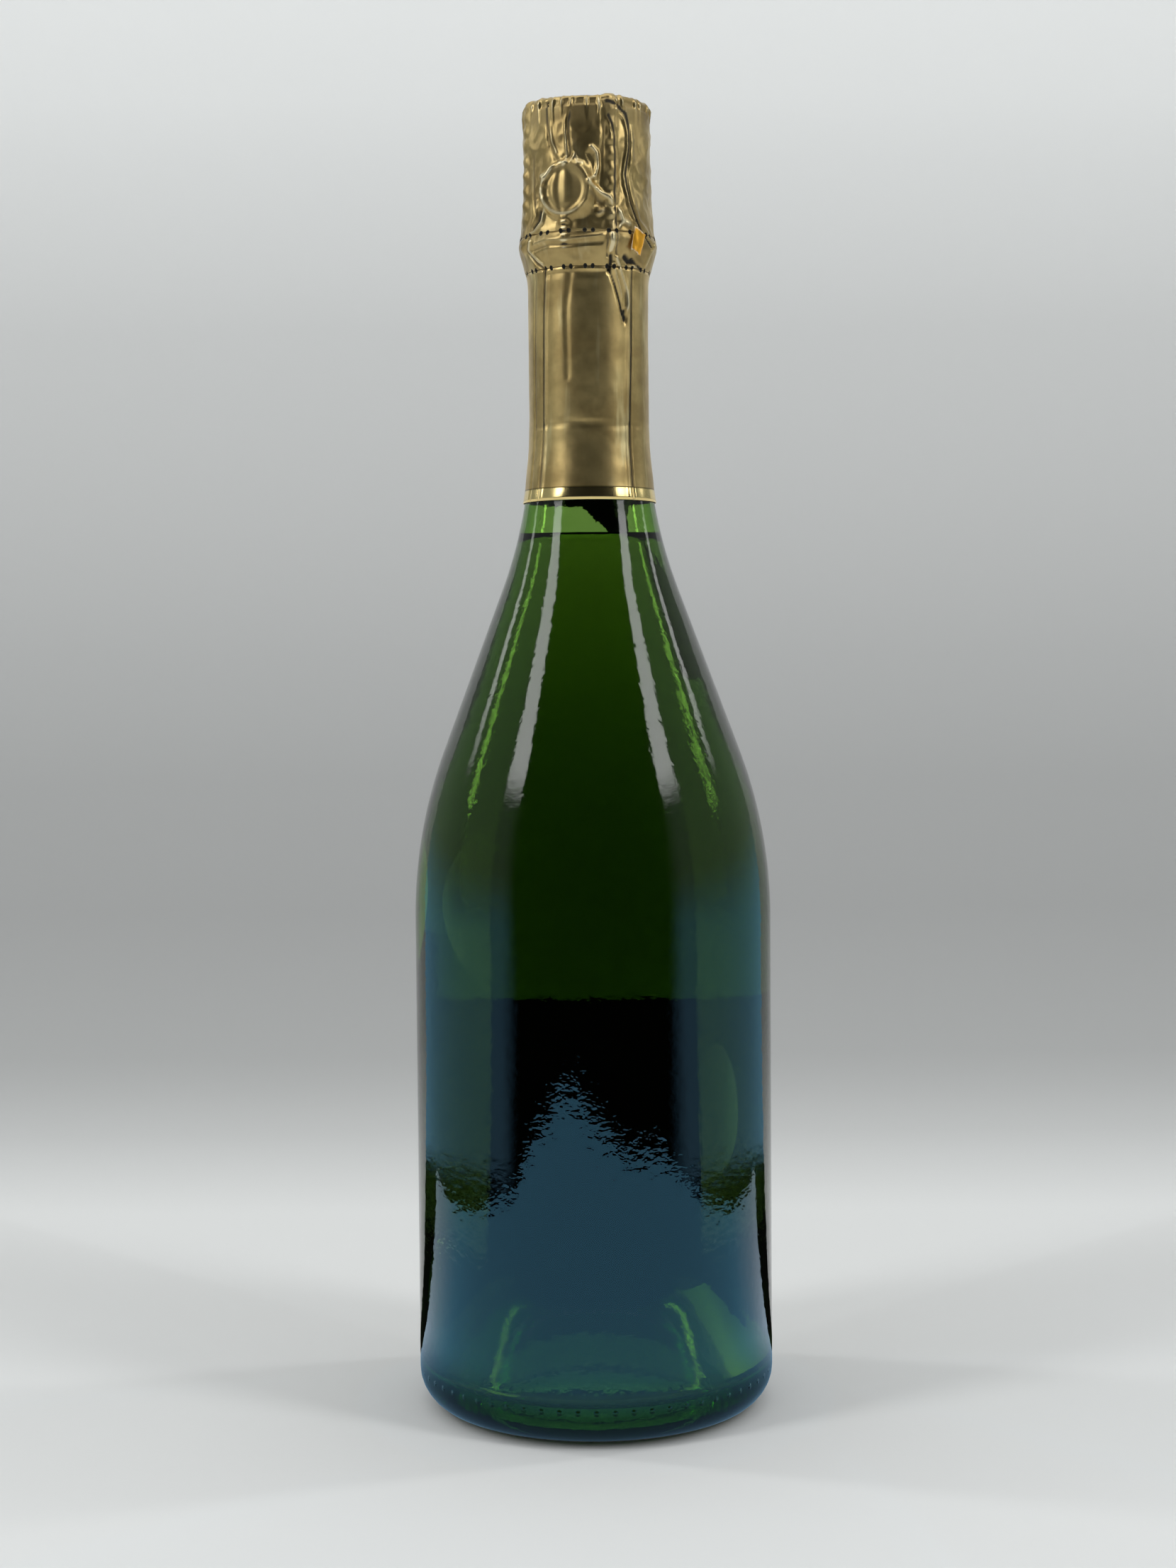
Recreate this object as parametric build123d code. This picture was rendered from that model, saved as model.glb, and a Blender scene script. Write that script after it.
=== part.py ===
from build123d import *
import os
from math import acos, asin, atan2, cos, degrees, hypot, radians, sin, sqrt

# A 75 cl champagne bottle, closed. Millimetres, +Z up.
# The origin is the centre of the base plane. Azimuths are counted from the -Y side towards +X.

# Glass, outside
glass_height = 300.0
body_radius = 44.45
heel_radius = 9.0
shoulder_start_height = 122.0
neck_length = 56.5
neck_radius = 14.6
# The two arcs of the shoulder, as shares of the arcs that would meet without a cone between them
shoulder_arc_share = 0.4539
neck_arc_share = 0.4272

# Glass, punt under the base
punt_depth = 33.0
punt_foot_reach = 12.25
punt_foot_cut = 1.5
punt_crown_radius = 15.0
punt_crown_round = 18.0

# Glass, finish at the mouth
lip_height = 5.5
lip_radius = 14.45
lip_top_cut = 1.2
lip_cut = 0.8
lip_groove_height = 1.6
lip_groove_radius = 13.4
ring_height = 5.0
ring_radius = 15.2
ring_cut = 0.7
throat_height = 6.0
throat_radius = 13.9
throat_taper_height = 4.0

# Glass, inside
wall_thickness = 4.85
neck_wall = 4.5
punt_wall = 6.0
floor_height = 9.0
# Cuts of the inner corners, as shares of the floor's width
inner_heel_share = 0.45
inner_valley_share = 0.3
bore_radius = 9.0
bore_depth = 27.0
bore_flare_height = 14.0

# Wine
wine_drop = 84.5
wine_gap = 0.05

# Cork
cork_length = 46.0
cork_in_bore = 24.5
cork_running_clearance = 0.05
cork_disc_thickness = 5.6
cork_end_chamfer = 0.8
cork_head_overhang = 0.55
cork_head_round = 3.6
cork_cap_fit_height = 3.9
groove_facets = 6

# Cage cap and wires
cap_radius = 14.8
cap_thickness = 0.3
cap_skirt_height = 3.6
cap_cut = 1.5
leg_azimuths = (-68.5, 21.5, 111.5, 201.5)
leg_wire_radius = 0.35
belt_wire_radius = 0.45
wire_gap = 0.05
leg_half_turns = 9
strand_gap = 0.04
strand_steps_per_turn = 5
leg_bend_radius = 2.0
leg_ring_clearance = 0.15
wire_facets = 5
crown_wire_radius = 0.35
crown_ring_radius = 11.4
belt_corner_radius = 5.0
belt_end_bend = 0.85
belt_side_steps = 4
belt_corner_steps = 4
leg_bend_steps = 3
eye_steps = 8
loop_steps = 14

# Twisted stem and loop of the belt wire
twist_azimuth = -20.0
twist_height = 4.0
twist_stand = 0.7
twist_half_turns = 2
loop_radius = 5.7
loop_foot_round = 1.5

# Foil
foil_thickness = 0.15
bump_facets = 6
foil_gap = 0.05
foil_length_below_mouth = 75.0
foil_tongue_drop = 6.4
foil_tongue_width = 18.0
foil_tongue_azimuth = 172.0
tear_lower_drop = 6.4
tear_upper_rise = 1.9
tear_line_gap = 0.1
foil_top_cut = 1.9
foil_flare_drop = 7.6
foil_belt_rise = 1.2
foil_lip_ease = 0.6
foil_head_rise = 3.0
foil_tongue_round = 6.0
tab_start_azimuth = 36.5
tab_sweep = 18.0
tab_width = 6.6
tab_gap = 0.12
tab_rise = -0.1
tab_curl_radius = 2.2
tab_curl_angle = 65.0

# Front label
label_bottom = 21.0
label_height = 77.0
label_half_angle = 60.0
label_thickness = 0.12
label_gap = 0.02

# Overrun of the cutting solids
overrun = 1.0

# Places worked out from the sizes
neck_start_height = glass_height - neck_length
wine_level = glass_height - wine_drop
shoulder_drop = body_radius - neck_radius
shoulder_rise = neck_start_height - shoulder_start_height
shoulder_arcs = (shoulder_drop**2 + shoulder_rise**2) / (2 * shoulder_drop)
shoulder_radius = shoulder_arc_share * shoulder_arcs
neck_sweep_radius = neck_arc_share * shoulder_arcs
punt_foot_radius = body_radius - punt_foot_reach
ring_top = glass_height - lip_height - lip_groove_height
ring_bottom = ring_top - ring_height
throat_bottom = ring_bottom - throat_height
cork_top = glass_height + cork_length - cork_in_bore
cork_head_radius = cap_radius + cork_head_overhang
cap_top = cork_top + cap_thickness
strand_offset = leg_wire_radius + strand_gap / 2
pair_radius = strand_offset + leg_wire_radius
leg_run_height = cap_top + wire_gap + leg_wire_radius
leg_top_radius = cap_radius + wire_gap + pair_radius
eye_radius = belt_wire_radius + wire_gap + leg_wire_radius
eye_reach = eye_radius + leg_wire_radius
belt_height = ring_bottom - belt_wire_radius - wire_gap
eye_centre_radius = ring_radius + leg_ring_clearance + eye_reach
belt_side_radius = throat_radius + wire_gap + belt_wire_radius
twist_centre_radius = ring_radius + leg_ring_clearance + 2 * belt_wire_radius
twist_strand_offset = belt_wire_radius + strand_gap / 2
twist_bottom = belt_height + belt_end_bend
twist_top = twist_bottom + twist_height
foil_belt_radius = eye_centre_radius + belt_wire_radius + wire_gap
foil_lip_radius = ring_radius + foil_lip_ease
foil_bottom_height = glass_height - foil_length_below_mouth
tear_line_lower = belt_height - tear_lower_drop
tear_line_upper = belt_height + tear_upper_rise
foil_ceiling = cap_top + wire_gap + 2 * leg_wire_radius + wire_gap


def place(shape, azimuth):
    """Turns a piece drawn along +X to its azimuth."""
    return Rot(0, 0, azimuth - 90) * shape


def shoulder_line(body, neck, start, end, convex, concave):
    """Body side to neck side: an arc, a straight cone and a counter-arc, all tangent."""
    reach = convex + concave
    across = reach - (body - neck)
    rise = end - start
    lean = asin(reach / sqrt(across**2 + rise**2)) - atan2(across, rise)
    lower = (body - convex, start)
    upper = (neck + concave, end)
    p1 = (body, start)
    m1 = (lower[0] + convex * cos(lean / 2), start + convex * sin(lean / 2))
    p2 = (lower[0] + convex * cos(lean), start + convex * sin(lean))
    p3 = (upper[0] - concave * cos(lean), end - concave * sin(lean))
    m2 = (upper[0] - concave * cos(lean / 2), end - concave * sin(lean / 2))
    p4 = (neck, end)
    return [ThreePointArc(p1, m1, p2), Line(p2, p3), ThreePointArc(p3, m2, p4)]


def rounded(points, rounds):
    """The edges of a line through (radius, height) points whose inner corners are rounded."""
    return FilletPolyline(*points, radius=rounds).edges()


def cut_corner(before, corner, after, cut):
    """The two points that replace a corner when it is cut off at a slant."""
    sides = []
    for side in (before, after):
        reach = hypot(side[0] - corner[0], side[1] - corner[1])
        share = cut / reach
        sides.append((corner[0] + (side[0] - corner[0]) * share, corner[1] + (side[1] - corner[1]) * share))
    return sides


def turned(edges, foot, head):
    """Closes an outline with a line on the axis and turns it into a solid."""
    axis_line = Line((0, foot), (0, head))
    outline = Wire(list(edges) + [axis_line.edge()])
    return revolve(make_face(Plane.XZ * outline), Axis.Z)


def ring_slab(low, high):
    """A plain disc wider than the bottle, which keeps what lies between two heights."""
    disc = Cylinder(body_radius + overrun, high - low, align=(Align.CENTER, Align.CENTER, Align.MIN))
    return Pos(0, 0, low) * disc


def punt_side(height, shift):
    """Radius of the punt's slanting side at a height, moved outwards by a wall."""
    slope = (punt_foot_radius - punt_crown_radius) / punt_depth
    return punt_foot_radius - slope * height + shift * sqrt(1 + slope**2)


def glass_outside():
    crown = (punt_crown_radius, punt_depth)
    foot = (punt_foot_radius, 0)
    heel = (body_radius, 0)
    base = rounded(
        [
            (0, punt_depth),
            crown,
            *cut_corner(crown, foot, heel, punt_foot_cut),
            heel,
            (body_radius, shoulder_start_height),
        ],
        [punt_crown_round, 0, 0, heel_radius],
    )
    shoulder = shoulder_line(
        body_radius,
        neck_radius,
        shoulder_start_height,
        neck_start_height,
        shoulder_radius,
        neck_sweep_radius,
    )
    lip_bottom = glass_height - lip_height
    finish = Polyline(
        (neck_radius, neck_start_height),
        (neck_radius, throat_bottom - throat_taper_height),
        (throat_radius, throat_bottom),
        (throat_radius, ring_bottom),
        (ring_radius - ring_cut, ring_bottom),
        (ring_radius, ring_bottom + ring_cut),
        (ring_radius, ring_top - ring_cut),
        (ring_radius - ring_cut, ring_top),
        (lip_groove_radius, ring_top),
        (lip_groove_radius, lip_bottom),
        (lip_radius - lip_cut, lip_bottom),
        (lip_radius, lip_bottom + lip_cut),
        (lip_radius, glass_height - lip_top_cut),
        (lip_radius - lip_top_cut, glass_height),
        (0, glass_height),
    ).edges()
    return turned(list(base) + shoulder + list(finish), punt_depth, glass_height)


def cavity_edges(gap):
    """The inside of the glass up to the flare under the bore, drawn in by a gap."""
    inner_body = body_radius - wall_thickness - gap
    inner_neck = neck_radius - neck_wall - gap
    crown_height = punt_depth + punt_wall + gap
    floor = floor_height + gap
    crown = (punt_side(crown_height, punt_wall + gap), crown_height)
    valley = (punt_side(floor, punt_wall + gap), floor)
    heel = (inner_body, floor)
    side = (inner_body, shoulder_start_height)
    width = heel[0] - valley[0]
    base = rounded(
        [
            (0, crown_height),
            crown,
            *cut_corner(crown, valley, heel, inner_valley_share * width),
            *cut_corner(valley, heel, side, inner_heel_share * width),
            side,
        ],
        [punt_crown_round] + [0] * 4,
    )
    shoulder = shoulder_line(
        inner_body,
        inner_neck,
        shoulder_start_height,
        neck_start_height,
        shoulder_radius - wall_thickness - gap,
        neck_sweep_radius + neck_wall + gap,
    )
    return list(base) + shoulder, crown_height, inner_neck


def glass_cavity():
    edges, crown_height, inner_neck = cavity_edges(0)
    flare_top = glass_height - bore_depth
    bore = rounded(
        [
            (inner_neck, neck_start_height),
            (inner_neck, flare_top - bore_flare_height),
            (bore_radius, flare_top),
            (bore_radius, glass_height + overrun),
            (0, glass_height + overrun),
        ],
        [0, 0, 0],
    )
    return turned(edges + list(bore), crown_height, glass_height + overrun)


def glass_bottle():
    return glass_outside() - glass_cavity()


def wine():
    edges, crown_height, inner_neck = cavity_edges(wine_gap)
    column = rounded([(inner_neck, neck_start_height), (inner_neck, ring_bottom), (0, ring_bottom)], [0])
    whole = turned(edges + list(column), crown_height, ring_bottom)
    return whole & ring_slab(0, wine_level)


def cork_disc(level):
    """One of the two discs of natural cork at the wet end, counted up from the wine."""
    radius = bore_radius - cork_running_clearance
    foot = glass_height - cork_in_bore + level * cork_disc_thickness
    disc = Cylinder(radius, cork_disc_thickness, align=(Align.CENTER, Align.CENTER, Align.MIN))
    disc = Pos(0, 0, foot) * disc
    if level == 0:
        disc = chamfer(disc.edges().sort_by(Axis.Z)[0], cork_end_chamfer)
    return disc


def cork_body():
    radius = bore_radius - cork_running_clearance
    foot = glass_height - cork_in_bore + 2 * cork_disc_thickness
    crown_radius = cap_radius - cap_thickness - wire_gap
    ledge = cork_top - cork_cap_fit_height
    crown = (crown_radius, cork_top)
    outline = rounded(
        [
            (0, foot),
            (radius, foot),
            (radius, glass_height),
            (cork_head_radius, glass_height),
            (cork_head_radius, ledge),
            (crown_radius, ledge),
            *cut_corner((crown_radius, ledge), crown, (0, cork_top), cap_cut),
            (0, cork_top),
        ],
        [0, 0, cork_head_round] + [0] * 4,
    )
    body = turned(outline, foot, cork_top)
    groove_radius = pair_radius + wire_gap
    groove_face = RegularPolygon(groove_radius / cos(radians(180 / groove_facets)), groove_facets)
    groove = extrude(groove_face, cork_top - glass_height + 2 * overrun)
    groove = Pos(leg_top_radius, 0, glass_height - overrun) * groove
    return body - [place(groove, azimuth) for azimuth in leg_azimuths]


def cage_cap():
    """The pressed disc under the wires: a dished plate with a rounded, turned-down edge."""
    skirt_bottom = cap_top - cap_skirt_height
    edge = (cap_radius, cap_top)
    foot = (cap_radius, skirt_bottom)
    outer = [(0, cap_top), *cut_corner((0, cap_top), edge, foot, cap_cut), foot, (0, skirt_bottom)]
    cut_bottom = skirt_bottom - overrun
    inner_edge = (cap_radius - cap_thickness, cork_top)
    inner_foot = (cap_radius - cap_thickness, cut_bottom)
    inner_corner = cut_corner((0, cork_top), inner_edge, inner_foot, cap_cut)
    inner = [(0, cork_top), *inner_corner, inner_foot, (0, cut_bottom)]
    outer_edges = Polyline(*outer).edges()
    inner_edges = Polyline(*inner).edges()
    return turned(outer_edges, skirt_bottom, cap_top) - turned(inner_edges, cut_bottom, cork_top)


def crown_ring():
    """The wire ring that the four legs hang from, on top of the cap."""
    height = cap_top + wire_gap + crown_wire_radius
    section = Plane.XZ * Pos(crown_ring_radius, height) * RegularPolygon(crown_wire_radius, wire_facets)
    return revolve(section, Axis.Z)


def direction(azimuth):
    """Unit vector of an azimuth, counted from -Y towards +X."""
    return Vector(sin(radians(azimuth)), -cos(radians(azimuth)), 0)


def azimuth_of(vector):
    """Azimuth of a vector, counted the same way."""
    return degrees(atan2(vector.X, -vector.Y))


def leg_line():
    """Bend centre, lean, head and foot of a leg drawn as (radius, height)."""
    centre = (leg_top_radius - leg_bend_radius, leg_run_height - leg_bend_radius)
    foot = (eye_centre_radius - eye_radius / 2, belt_height + eye_radius * sqrt(3) / 2)
    reach = hypot(foot[0] - centre[0], foot[1] - centre[1])
    lean = atan2(foot[1] - centre[1], foot[0] - centre[0]) + acos(leg_bend_radius / reach)
    head = (centre[0] + leg_bend_radius * cos(lean), centre[1] + leg_bend_radius * sin(lean))
    return centre, lean, head, foot


def bent_wire(points, radius, facets=wire_facets):
    """One length of wire through points, with its corners mitred."""
    stops = [Vector(*point) for point in points]
    route = Wire([Edge.make_line(a, b) for a, b in zip(stops, stops[1:])])
    section = Plane(route @ 0, z_dir=route % 0) * RegularPolygon(radius, facets)
    return sweep(section, path=route, transition=Transition.RIGHT)


def closed_wire(points, radius):
    """A length of wire that closes on itself, swept as two halves that meet inside straights."""
    runs = [(b - a).length for a, b in zip(points, points[1:] + points[:1])]
    first = runs.index(max(runs)) + 1
    points = points[first:] + points[:first]
    half = len(points) // 2
    first_cut = (points[-1] + points[0]) * 0.5
    second_cut = (points[half] + points[half + 1]) * 0.5
    front = bent_wire([first_cut] + points[: half + 1] + [second_cut], radius)
    back = bent_wire([second_cut] + points[half + 1 :] + [first_cut], radius)
    return front + back


def helix_points(foot, head, side, offset, half_turns, phase):
    """The stops of one strand of a twisted pair between two points."""
    along = (head - foot).normalized()
    front = side.cross(along)
    steps = round(half_turns * strand_steps_per_turn / 2)
    stops = []
    for step in range(steps + 1):
        angle = radians(phase + 180 * half_turns * step / steps)
        around = side * (offset * cos(angle)) + front * (offset * sin(angle))
        stops.append(foot + (head - foot) * (step / steps) + around)
    return stops


def cage_leg():
    """A leg along +X, one hairpin of wire: over the cap, twisted with itself, round the eye."""
    centre, lean, head, foot = leg_line()
    side = Vector(0, 1, 0)
    top = Vector(head[0], 0, head[1])
    bottom = Vector(foot[0], 0, foot[1])
    run_start = crown_ring_radius + crown_wire_radius + wire_gap
    strands = []
    for hand, phase in ((1, 0), (-1, 180)):
        stops = [Vector(run_start, hand * strand_offset, leg_run_height)]
        for step in range(leg_bend_steps):
            angle = radians(90) + (lean - radians(90)) * step / leg_bend_steps
            x = centre[0] + leg_bend_radius * cos(angle)
            z = centre[1] + leg_bend_radius * sin(angle)
            stops.append(Vector(x, hand * strand_offset, z))
        strands.append(stops + helix_points(top, bottom, side, strand_offset, leg_half_turns, phase))
    first, last = strands
    swing = strand_offset * cos(radians(180 * leg_half_turns))
    eye = []
    for step in range(1, eye_steps):
        angle = radians(120 + 360 * step / eye_steps)
        x = eye_centre_radius + eye_radius * cos(angle)
        y = swing * (1 - 2 * step / eye_steps)
        eye.append(Vector(x, y, belt_height + eye_radius * sin(angle)))
    return bent_wire(first + eye + last[::-1], leg_wire_radius)


def belt_arcs():
    """Side arc's centre distance and radius, and corner arc's centre distance, all tangent."""
    corner = eye_centre_radius - belt_corner_radius
    bulge = eye_centre_radius - belt_side_radius
    side = (bulge**2 - 2 * bulge * corner) / (2 * bulge - 2 * corner * (1 - sqrt(0.5)))
    return side, side + belt_side_radius, corner


def belt_ends():
    """Azimuths at which the belt leaves its side arc, and its stops on the way to the twist."""
    side, side_radius, corner = belt_arcs()
    middle = (leg_azimuths[0] + leg_azimuths[1]) / 2
    out = direction(twist_azimuth)
    across = direction(twist_azimuth + 90)
    side_centre = direction(middle) * -side
    ends = []
    for hand in (1, -1):
        bend_across = hand * (twist_strand_offset + belt_end_bend)
        shift = bend_across - side_centre.dot(across)
        rise = sqrt((side_radius + belt_end_bend) ** 2 - shift**2) + side_centre.dot(out)
        bend_centre = across * bend_across + out * rise
        leave = side_centre + (bend_centre - side_centre).normalized() * side_radius
        outward = bend_centre - across * (hand * belt_end_bend)
        halfway = bend_centre + (leave + outward - bend_centre * 2).normalized() * belt_end_bend
        turn = across * (hand * twist_strand_offset) + out * (twist_centre_radius - belt_end_bend)
        low = Vector(0, 0, belt_height)
        ends.append((azimuth_of(leave - side_centre), [leave + low, halfway + low, turn + low]))
    return ends


def arc_points(centre, radius, start, end, steps):
    """Stops on a level arc between two azimuths, without the last one."""
    stops = []
    for step in range(steps):
        azimuth = start + (end - start) * step / steps
        stops.append(centre + direction(azimuth) * radius + Vector(0, 0, belt_height))
    return stops


def loop_height():
    """Height of the loop's centre, so that its foot rounds run into the twist."""
    bend_across = twist_strand_offset + loop_foot_round
    return twist_top + sqrt((loop_radius + loop_foot_round) ** 2 - bend_across**2)


def loop_points():
    """The stops of the loop that is turned to open the cage, folded up against the cork."""
    foot = direction(twist_azimuth) * twist_centre_radius
    across = direction(twist_azimuth + 90)
    start = degrees(atan2(twist_top - loop_height(), twist_strand_offset + loop_foot_round))
    stops = []
    for step in range(loop_steps + 1):
        angle = radians(start + (180 - 2 * start) * step / loop_steps)
        rise = Vector(0, 0, loop_height() + loop_radius * sin(angle))
        stops.append(foot + across * (loop_radius * cos(angle)) + rise)
    return stops


def cage_belt():
    """One closed length of wire: round the neck through the eyes, twisted up and looped."""
    side, side_radius, corner = belt_arcs()
    lean = degrees(atan2(corner * sqrt(0.5), side + corner * sqrt(0.5)))
    middle = (leg_azimuths[0] + leg_azimuths[1]) / 2
    front = direction(middle) * -side
    (right_azimuth, right), (left_azimuth, left) = belt_ends()
    half_steps = belt_side_steps // 2
    stops = [right[2], right[1]]
    stops += arc_points(front, side_radius, right_azimuth, middle + lean, half_steps)
    for quarter in range(4):
        start = middle + 90 * quarter
        if quarter:
            centre = direction(start) * -side
            stops += arc_points(centre, side_radius, start - lean, start + lean, belt_side_steps)
        centre = direction(start + 45) * corner
        stops += arc_points(centre, belt_corner_radius, start + lean, start + 90 - lean, belt_corner_steps)
    stops += arc_points(front, side_radius, middle - lean, left_azimuth, half_steps)
    stops += left
    out = direction(twist_azimuth) * twist_centre_radius
    across = direction(twist_azimuth + 90)
    stand = out + Vector(0, 0, twist_bottom)
    foot = out + Vector(0, 0, twist_bottom + twist_stand)
    head = out + Vector(0, 0, twist_top)
    rising = helix_points(foot, head, across, twist_strand_offset, twist_half_turns, 180)
    falling = helix_points(foot, head, across, twist_strand_offset, twist_half_turns, 0)
    stops += [stand - across * twist_strand_offset] + rising + loop_points()[::-1]
    stops += falling[::-1] + [stand + across * twist_strand_offset]
    return closed_wire(stops, belt_wire_radius)


def foil_core(offset, bottom):
    """What the foil is drawn over, turned: shoulder, neck, belt, mouth and cork, plus an offset."""
    sweep_centre = neck_radius + neck_sweep_radius
    radius = neck_sweep_radius - offset
    drop = neck_start_height - bottom
    low = (sweep_centre - sqrt(radius**2 - drop**2), bottom)
    half = asin(drop / radius) / 2
    ease = (sweep_centre - radius * cos(half), neck_start_height - radius * sin(half))
    neck = (neck_radius + offset, neck_start_height)
    ceiling = foil_ceiling + offset - foil_gap
    wall = cork_head_radius + offset
    edge = (wall, ceiling)
    upper = Polyline(
        neck,
        (neck_radius + offset, belt_height - foil_flare_drop),
        (foil_belt_radius + offset, belt_height - foil_belt_rise),
        (foil_belt_radius + offset, belt_height + foil_belt_rise),
        (foil_lip_radius + offset, glass_height - lip_height),
        (wall, glass_height + foil_head_rise),
        *cut_corner((wall, glass_height + foil_head_rise), edge, (0, ceiling), foil_top_cut),
        (0, ceiling),
    )
    edges = [Line((0, bottom), low), ThreePointArc(low, ease, neck)]
    return turned([piece.edge() for piece in edges] + list(upper.edges()), bottom, ceiling)


def foil_form(offset):
    """The foil's core with the legs, eyes, twist and loop that press out through it."""
    centre, lean, head, foot = leg_line()
    ceiling = foil_ceiling + offset - foil_gap
    bottom = tear_line_lower - overrun
    half = (lean + radians(90)) / 2
    knee = (centre[0] + leg_bend_radius * cos(half), 0, centre[1] + leg_bend_radius * sin(half))
    stops = [
        (foot[0], 0, foot[1]),
        (head[0], 0, head[1]),
        knee,
        (centre[0], 0, leg_run_height),
        (crown_ring_radius, 0, leg_run_height),
    ]
    leg = bent_wire(stops, (pair_radius + offset) / cos(radians(180 / bump_facets)), bump_facets)
    eye_foot = belt_height - eye_reach - offset
    eye_radius_out = (eye_reach + offset) / cos(radians(180 / bump_facets))
    eye_face = Pos(eye_centre_radius, 0, eye_foot) * RegularPolygon(eye_radius_out, bump_facets)
    leg = leg + extrude(eye_face, 2 * (eye_reach + offset))
    legs = [place(leg, azimuth) for azimuth in leg_azimuths]
    stem_radius = (twist_strand_offset + belt_wire_radius + offset) / cos(radians(180 / bump_facets))
    stem_foot = belt_height - belt_wire_radius - offset
    stem_face = RegularPolygon(stem_radius, bump_facets)
    stem_face = Pos(direction(twist_azimuth) * twist_centre_radius) * stem_face
    stem = Pos(0, 0, stem_foot) * extrude(stem_face, loop_height() - stem_foot)
    pad_radius = loop_radius + belt_wire_radius + offset
    pad_reach = twist_centre_radius + belt_wire_radius + offset
    across = direction(twist_azimuth + 90)
    facing = Plane((0, 0, loop_height()), x_dir=across, z_dir=direction(twist_azimuth))
    slide_room = loop_height() - tear_line_upper
    pad = Circle(pad_radius) + Pos(0, -slide_room / 2) * Rectangle(2 * pad_radius, slide_room)
    pad = extrude(facing * pad, pad_reach)
    whole = foil_core(offset, foil_bottom_height) + legs + stem + pad
    return whole & ring_slab(bottom, ceiling)


def foil_shell():
    """The foil over the closure, from under the belt to the top, before it is parted."""
    return foil_form(foil_gap + foil_thickness) - foil_form(foil_gap)


def foil_sleeve():
    """The foil on the neck, with the tongue that reaches down on the label side."""
    bottom = foil_bottom_height - foil_tongue_drop
    tube = foil_core(foil_gap + foil_thickness, bottom) - foil_core(foil_gap, bottom - overrun)
    tube = tube & ring_slab(bottom, tear_line_lower - tear_line_gap / 2)
    across = direction(foil_tongue_azimuth + 90)
    facing = Plane((0, 0, bottom), x_dir=across, z_dir=direction(foil_tongue_azimuth))
    outline = Rectangle(foil_tongue_width, 3 * foil_tongue_drop, align=(Align.CENTER, Align.MIN))
    outline = fillet(outline.vertices().group_by(Axis.Y)[0], foil_tongue_round)
    tongue = extrude(facing * outline, body_radius)
    return tube - (ring_slab(bottom - overrun, foil_bottom_height) - tongue)


def tear_tab():
    """The free end of the tear strip: laid back along the band, its end curling outwards."""
    radius = foil_belt_radius + foil_gap + foil_thickness + tab_gap
    foot = belt_height + tab_rise - tab_width / 2
    strip_face = Pos(radius + foil_thickness / 2, 0, foot + tab_width / 2) * Rot(90, 0, 0) * Rectangle(
        foil_thickness, tab_width
    )
    strip = revolve(place(strip_face, tab_start_azimuth), Axis.Z, tab_sweep)
    end_azimuth = tab_start_azimuth + tab_sweep
    curl_centre = direction(end_azimuth) * (radius + foil_thickness + tab_curl_radius)
    curl = revolve(place(strip_face, end_azimuth), Axis(curl_centre, (0, 0, -1)), tab_curl_angle)
    return strip + curl


def front_label():
    """The bare paper label round the far side."""
    inner = body_radius + label_gap
    face = Pos(inner + label_thickness / 2, 0, label_bottom + label_height / 2) * Rot(90, 0, 0) * Rectangle(
        label_thickness, label_height
    )
    return revolve(place(face, 180 - label_half_angle), Axis.Z, 2 * label_half_angle)


def export(node, shape):
    """Writes one sub-part as parts/NODE.step."""
    export_step(shape, f"parts/{node}.step")


os.makedirs("parts", exist_ok=True)
export("glass_bottle", glass_bottle())
export("wine", wine())
export("cork_disc_lower", cork_disc(0))
export("cork_disc_upper", cork_disc(1))
export("cork_body", cork_body())
export("cage_cap", cage_cap())
export("cage_crown_ring", crown_ring())
for count, azimuth in enumerate(leg_azimuths):
    export(f"cage_leg_{count + 1}", place(cage_leg(), azimuth))
export("cage_belt", cage_belt())
shell = foil_shell()
tear_half_gap = tear_line_gap / 2
export("foil_hood", shell & ring_slab(tear_line_upper + tear_half_gap, foil_ceiling + overrun))
export("foil_tear_band", shell & ring_slab(tear_line_lower + tear_half_gap, tear_line_upper - tear_half_gap))
export("foil_sleeve", foil_sleeve())
export("tear_tab", tear_tab())
export("front_label", front_label())
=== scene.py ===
from math import asin, atan2, cos, degrees, hypot, pi, radians, sin, sqrt, tan

import bmesh
import bpy
import numpy as np
from mathutils import Matrix, Vector, noise


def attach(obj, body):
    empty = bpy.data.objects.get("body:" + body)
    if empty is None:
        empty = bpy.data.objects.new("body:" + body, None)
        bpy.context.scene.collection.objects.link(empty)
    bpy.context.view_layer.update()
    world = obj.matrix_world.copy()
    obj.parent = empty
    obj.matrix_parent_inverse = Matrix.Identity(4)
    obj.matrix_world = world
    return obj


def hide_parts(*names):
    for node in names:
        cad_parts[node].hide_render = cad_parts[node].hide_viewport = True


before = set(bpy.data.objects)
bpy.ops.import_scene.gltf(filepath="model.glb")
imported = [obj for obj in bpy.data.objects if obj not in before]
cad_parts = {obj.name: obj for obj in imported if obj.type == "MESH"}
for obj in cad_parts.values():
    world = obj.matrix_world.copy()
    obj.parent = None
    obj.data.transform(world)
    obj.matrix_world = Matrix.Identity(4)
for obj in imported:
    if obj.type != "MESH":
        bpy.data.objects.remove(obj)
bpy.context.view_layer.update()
mm = 0.001
print("frame loaded")


# Shader tools: a socket that can be used in sums, and a bench that adds nodes to one material

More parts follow.
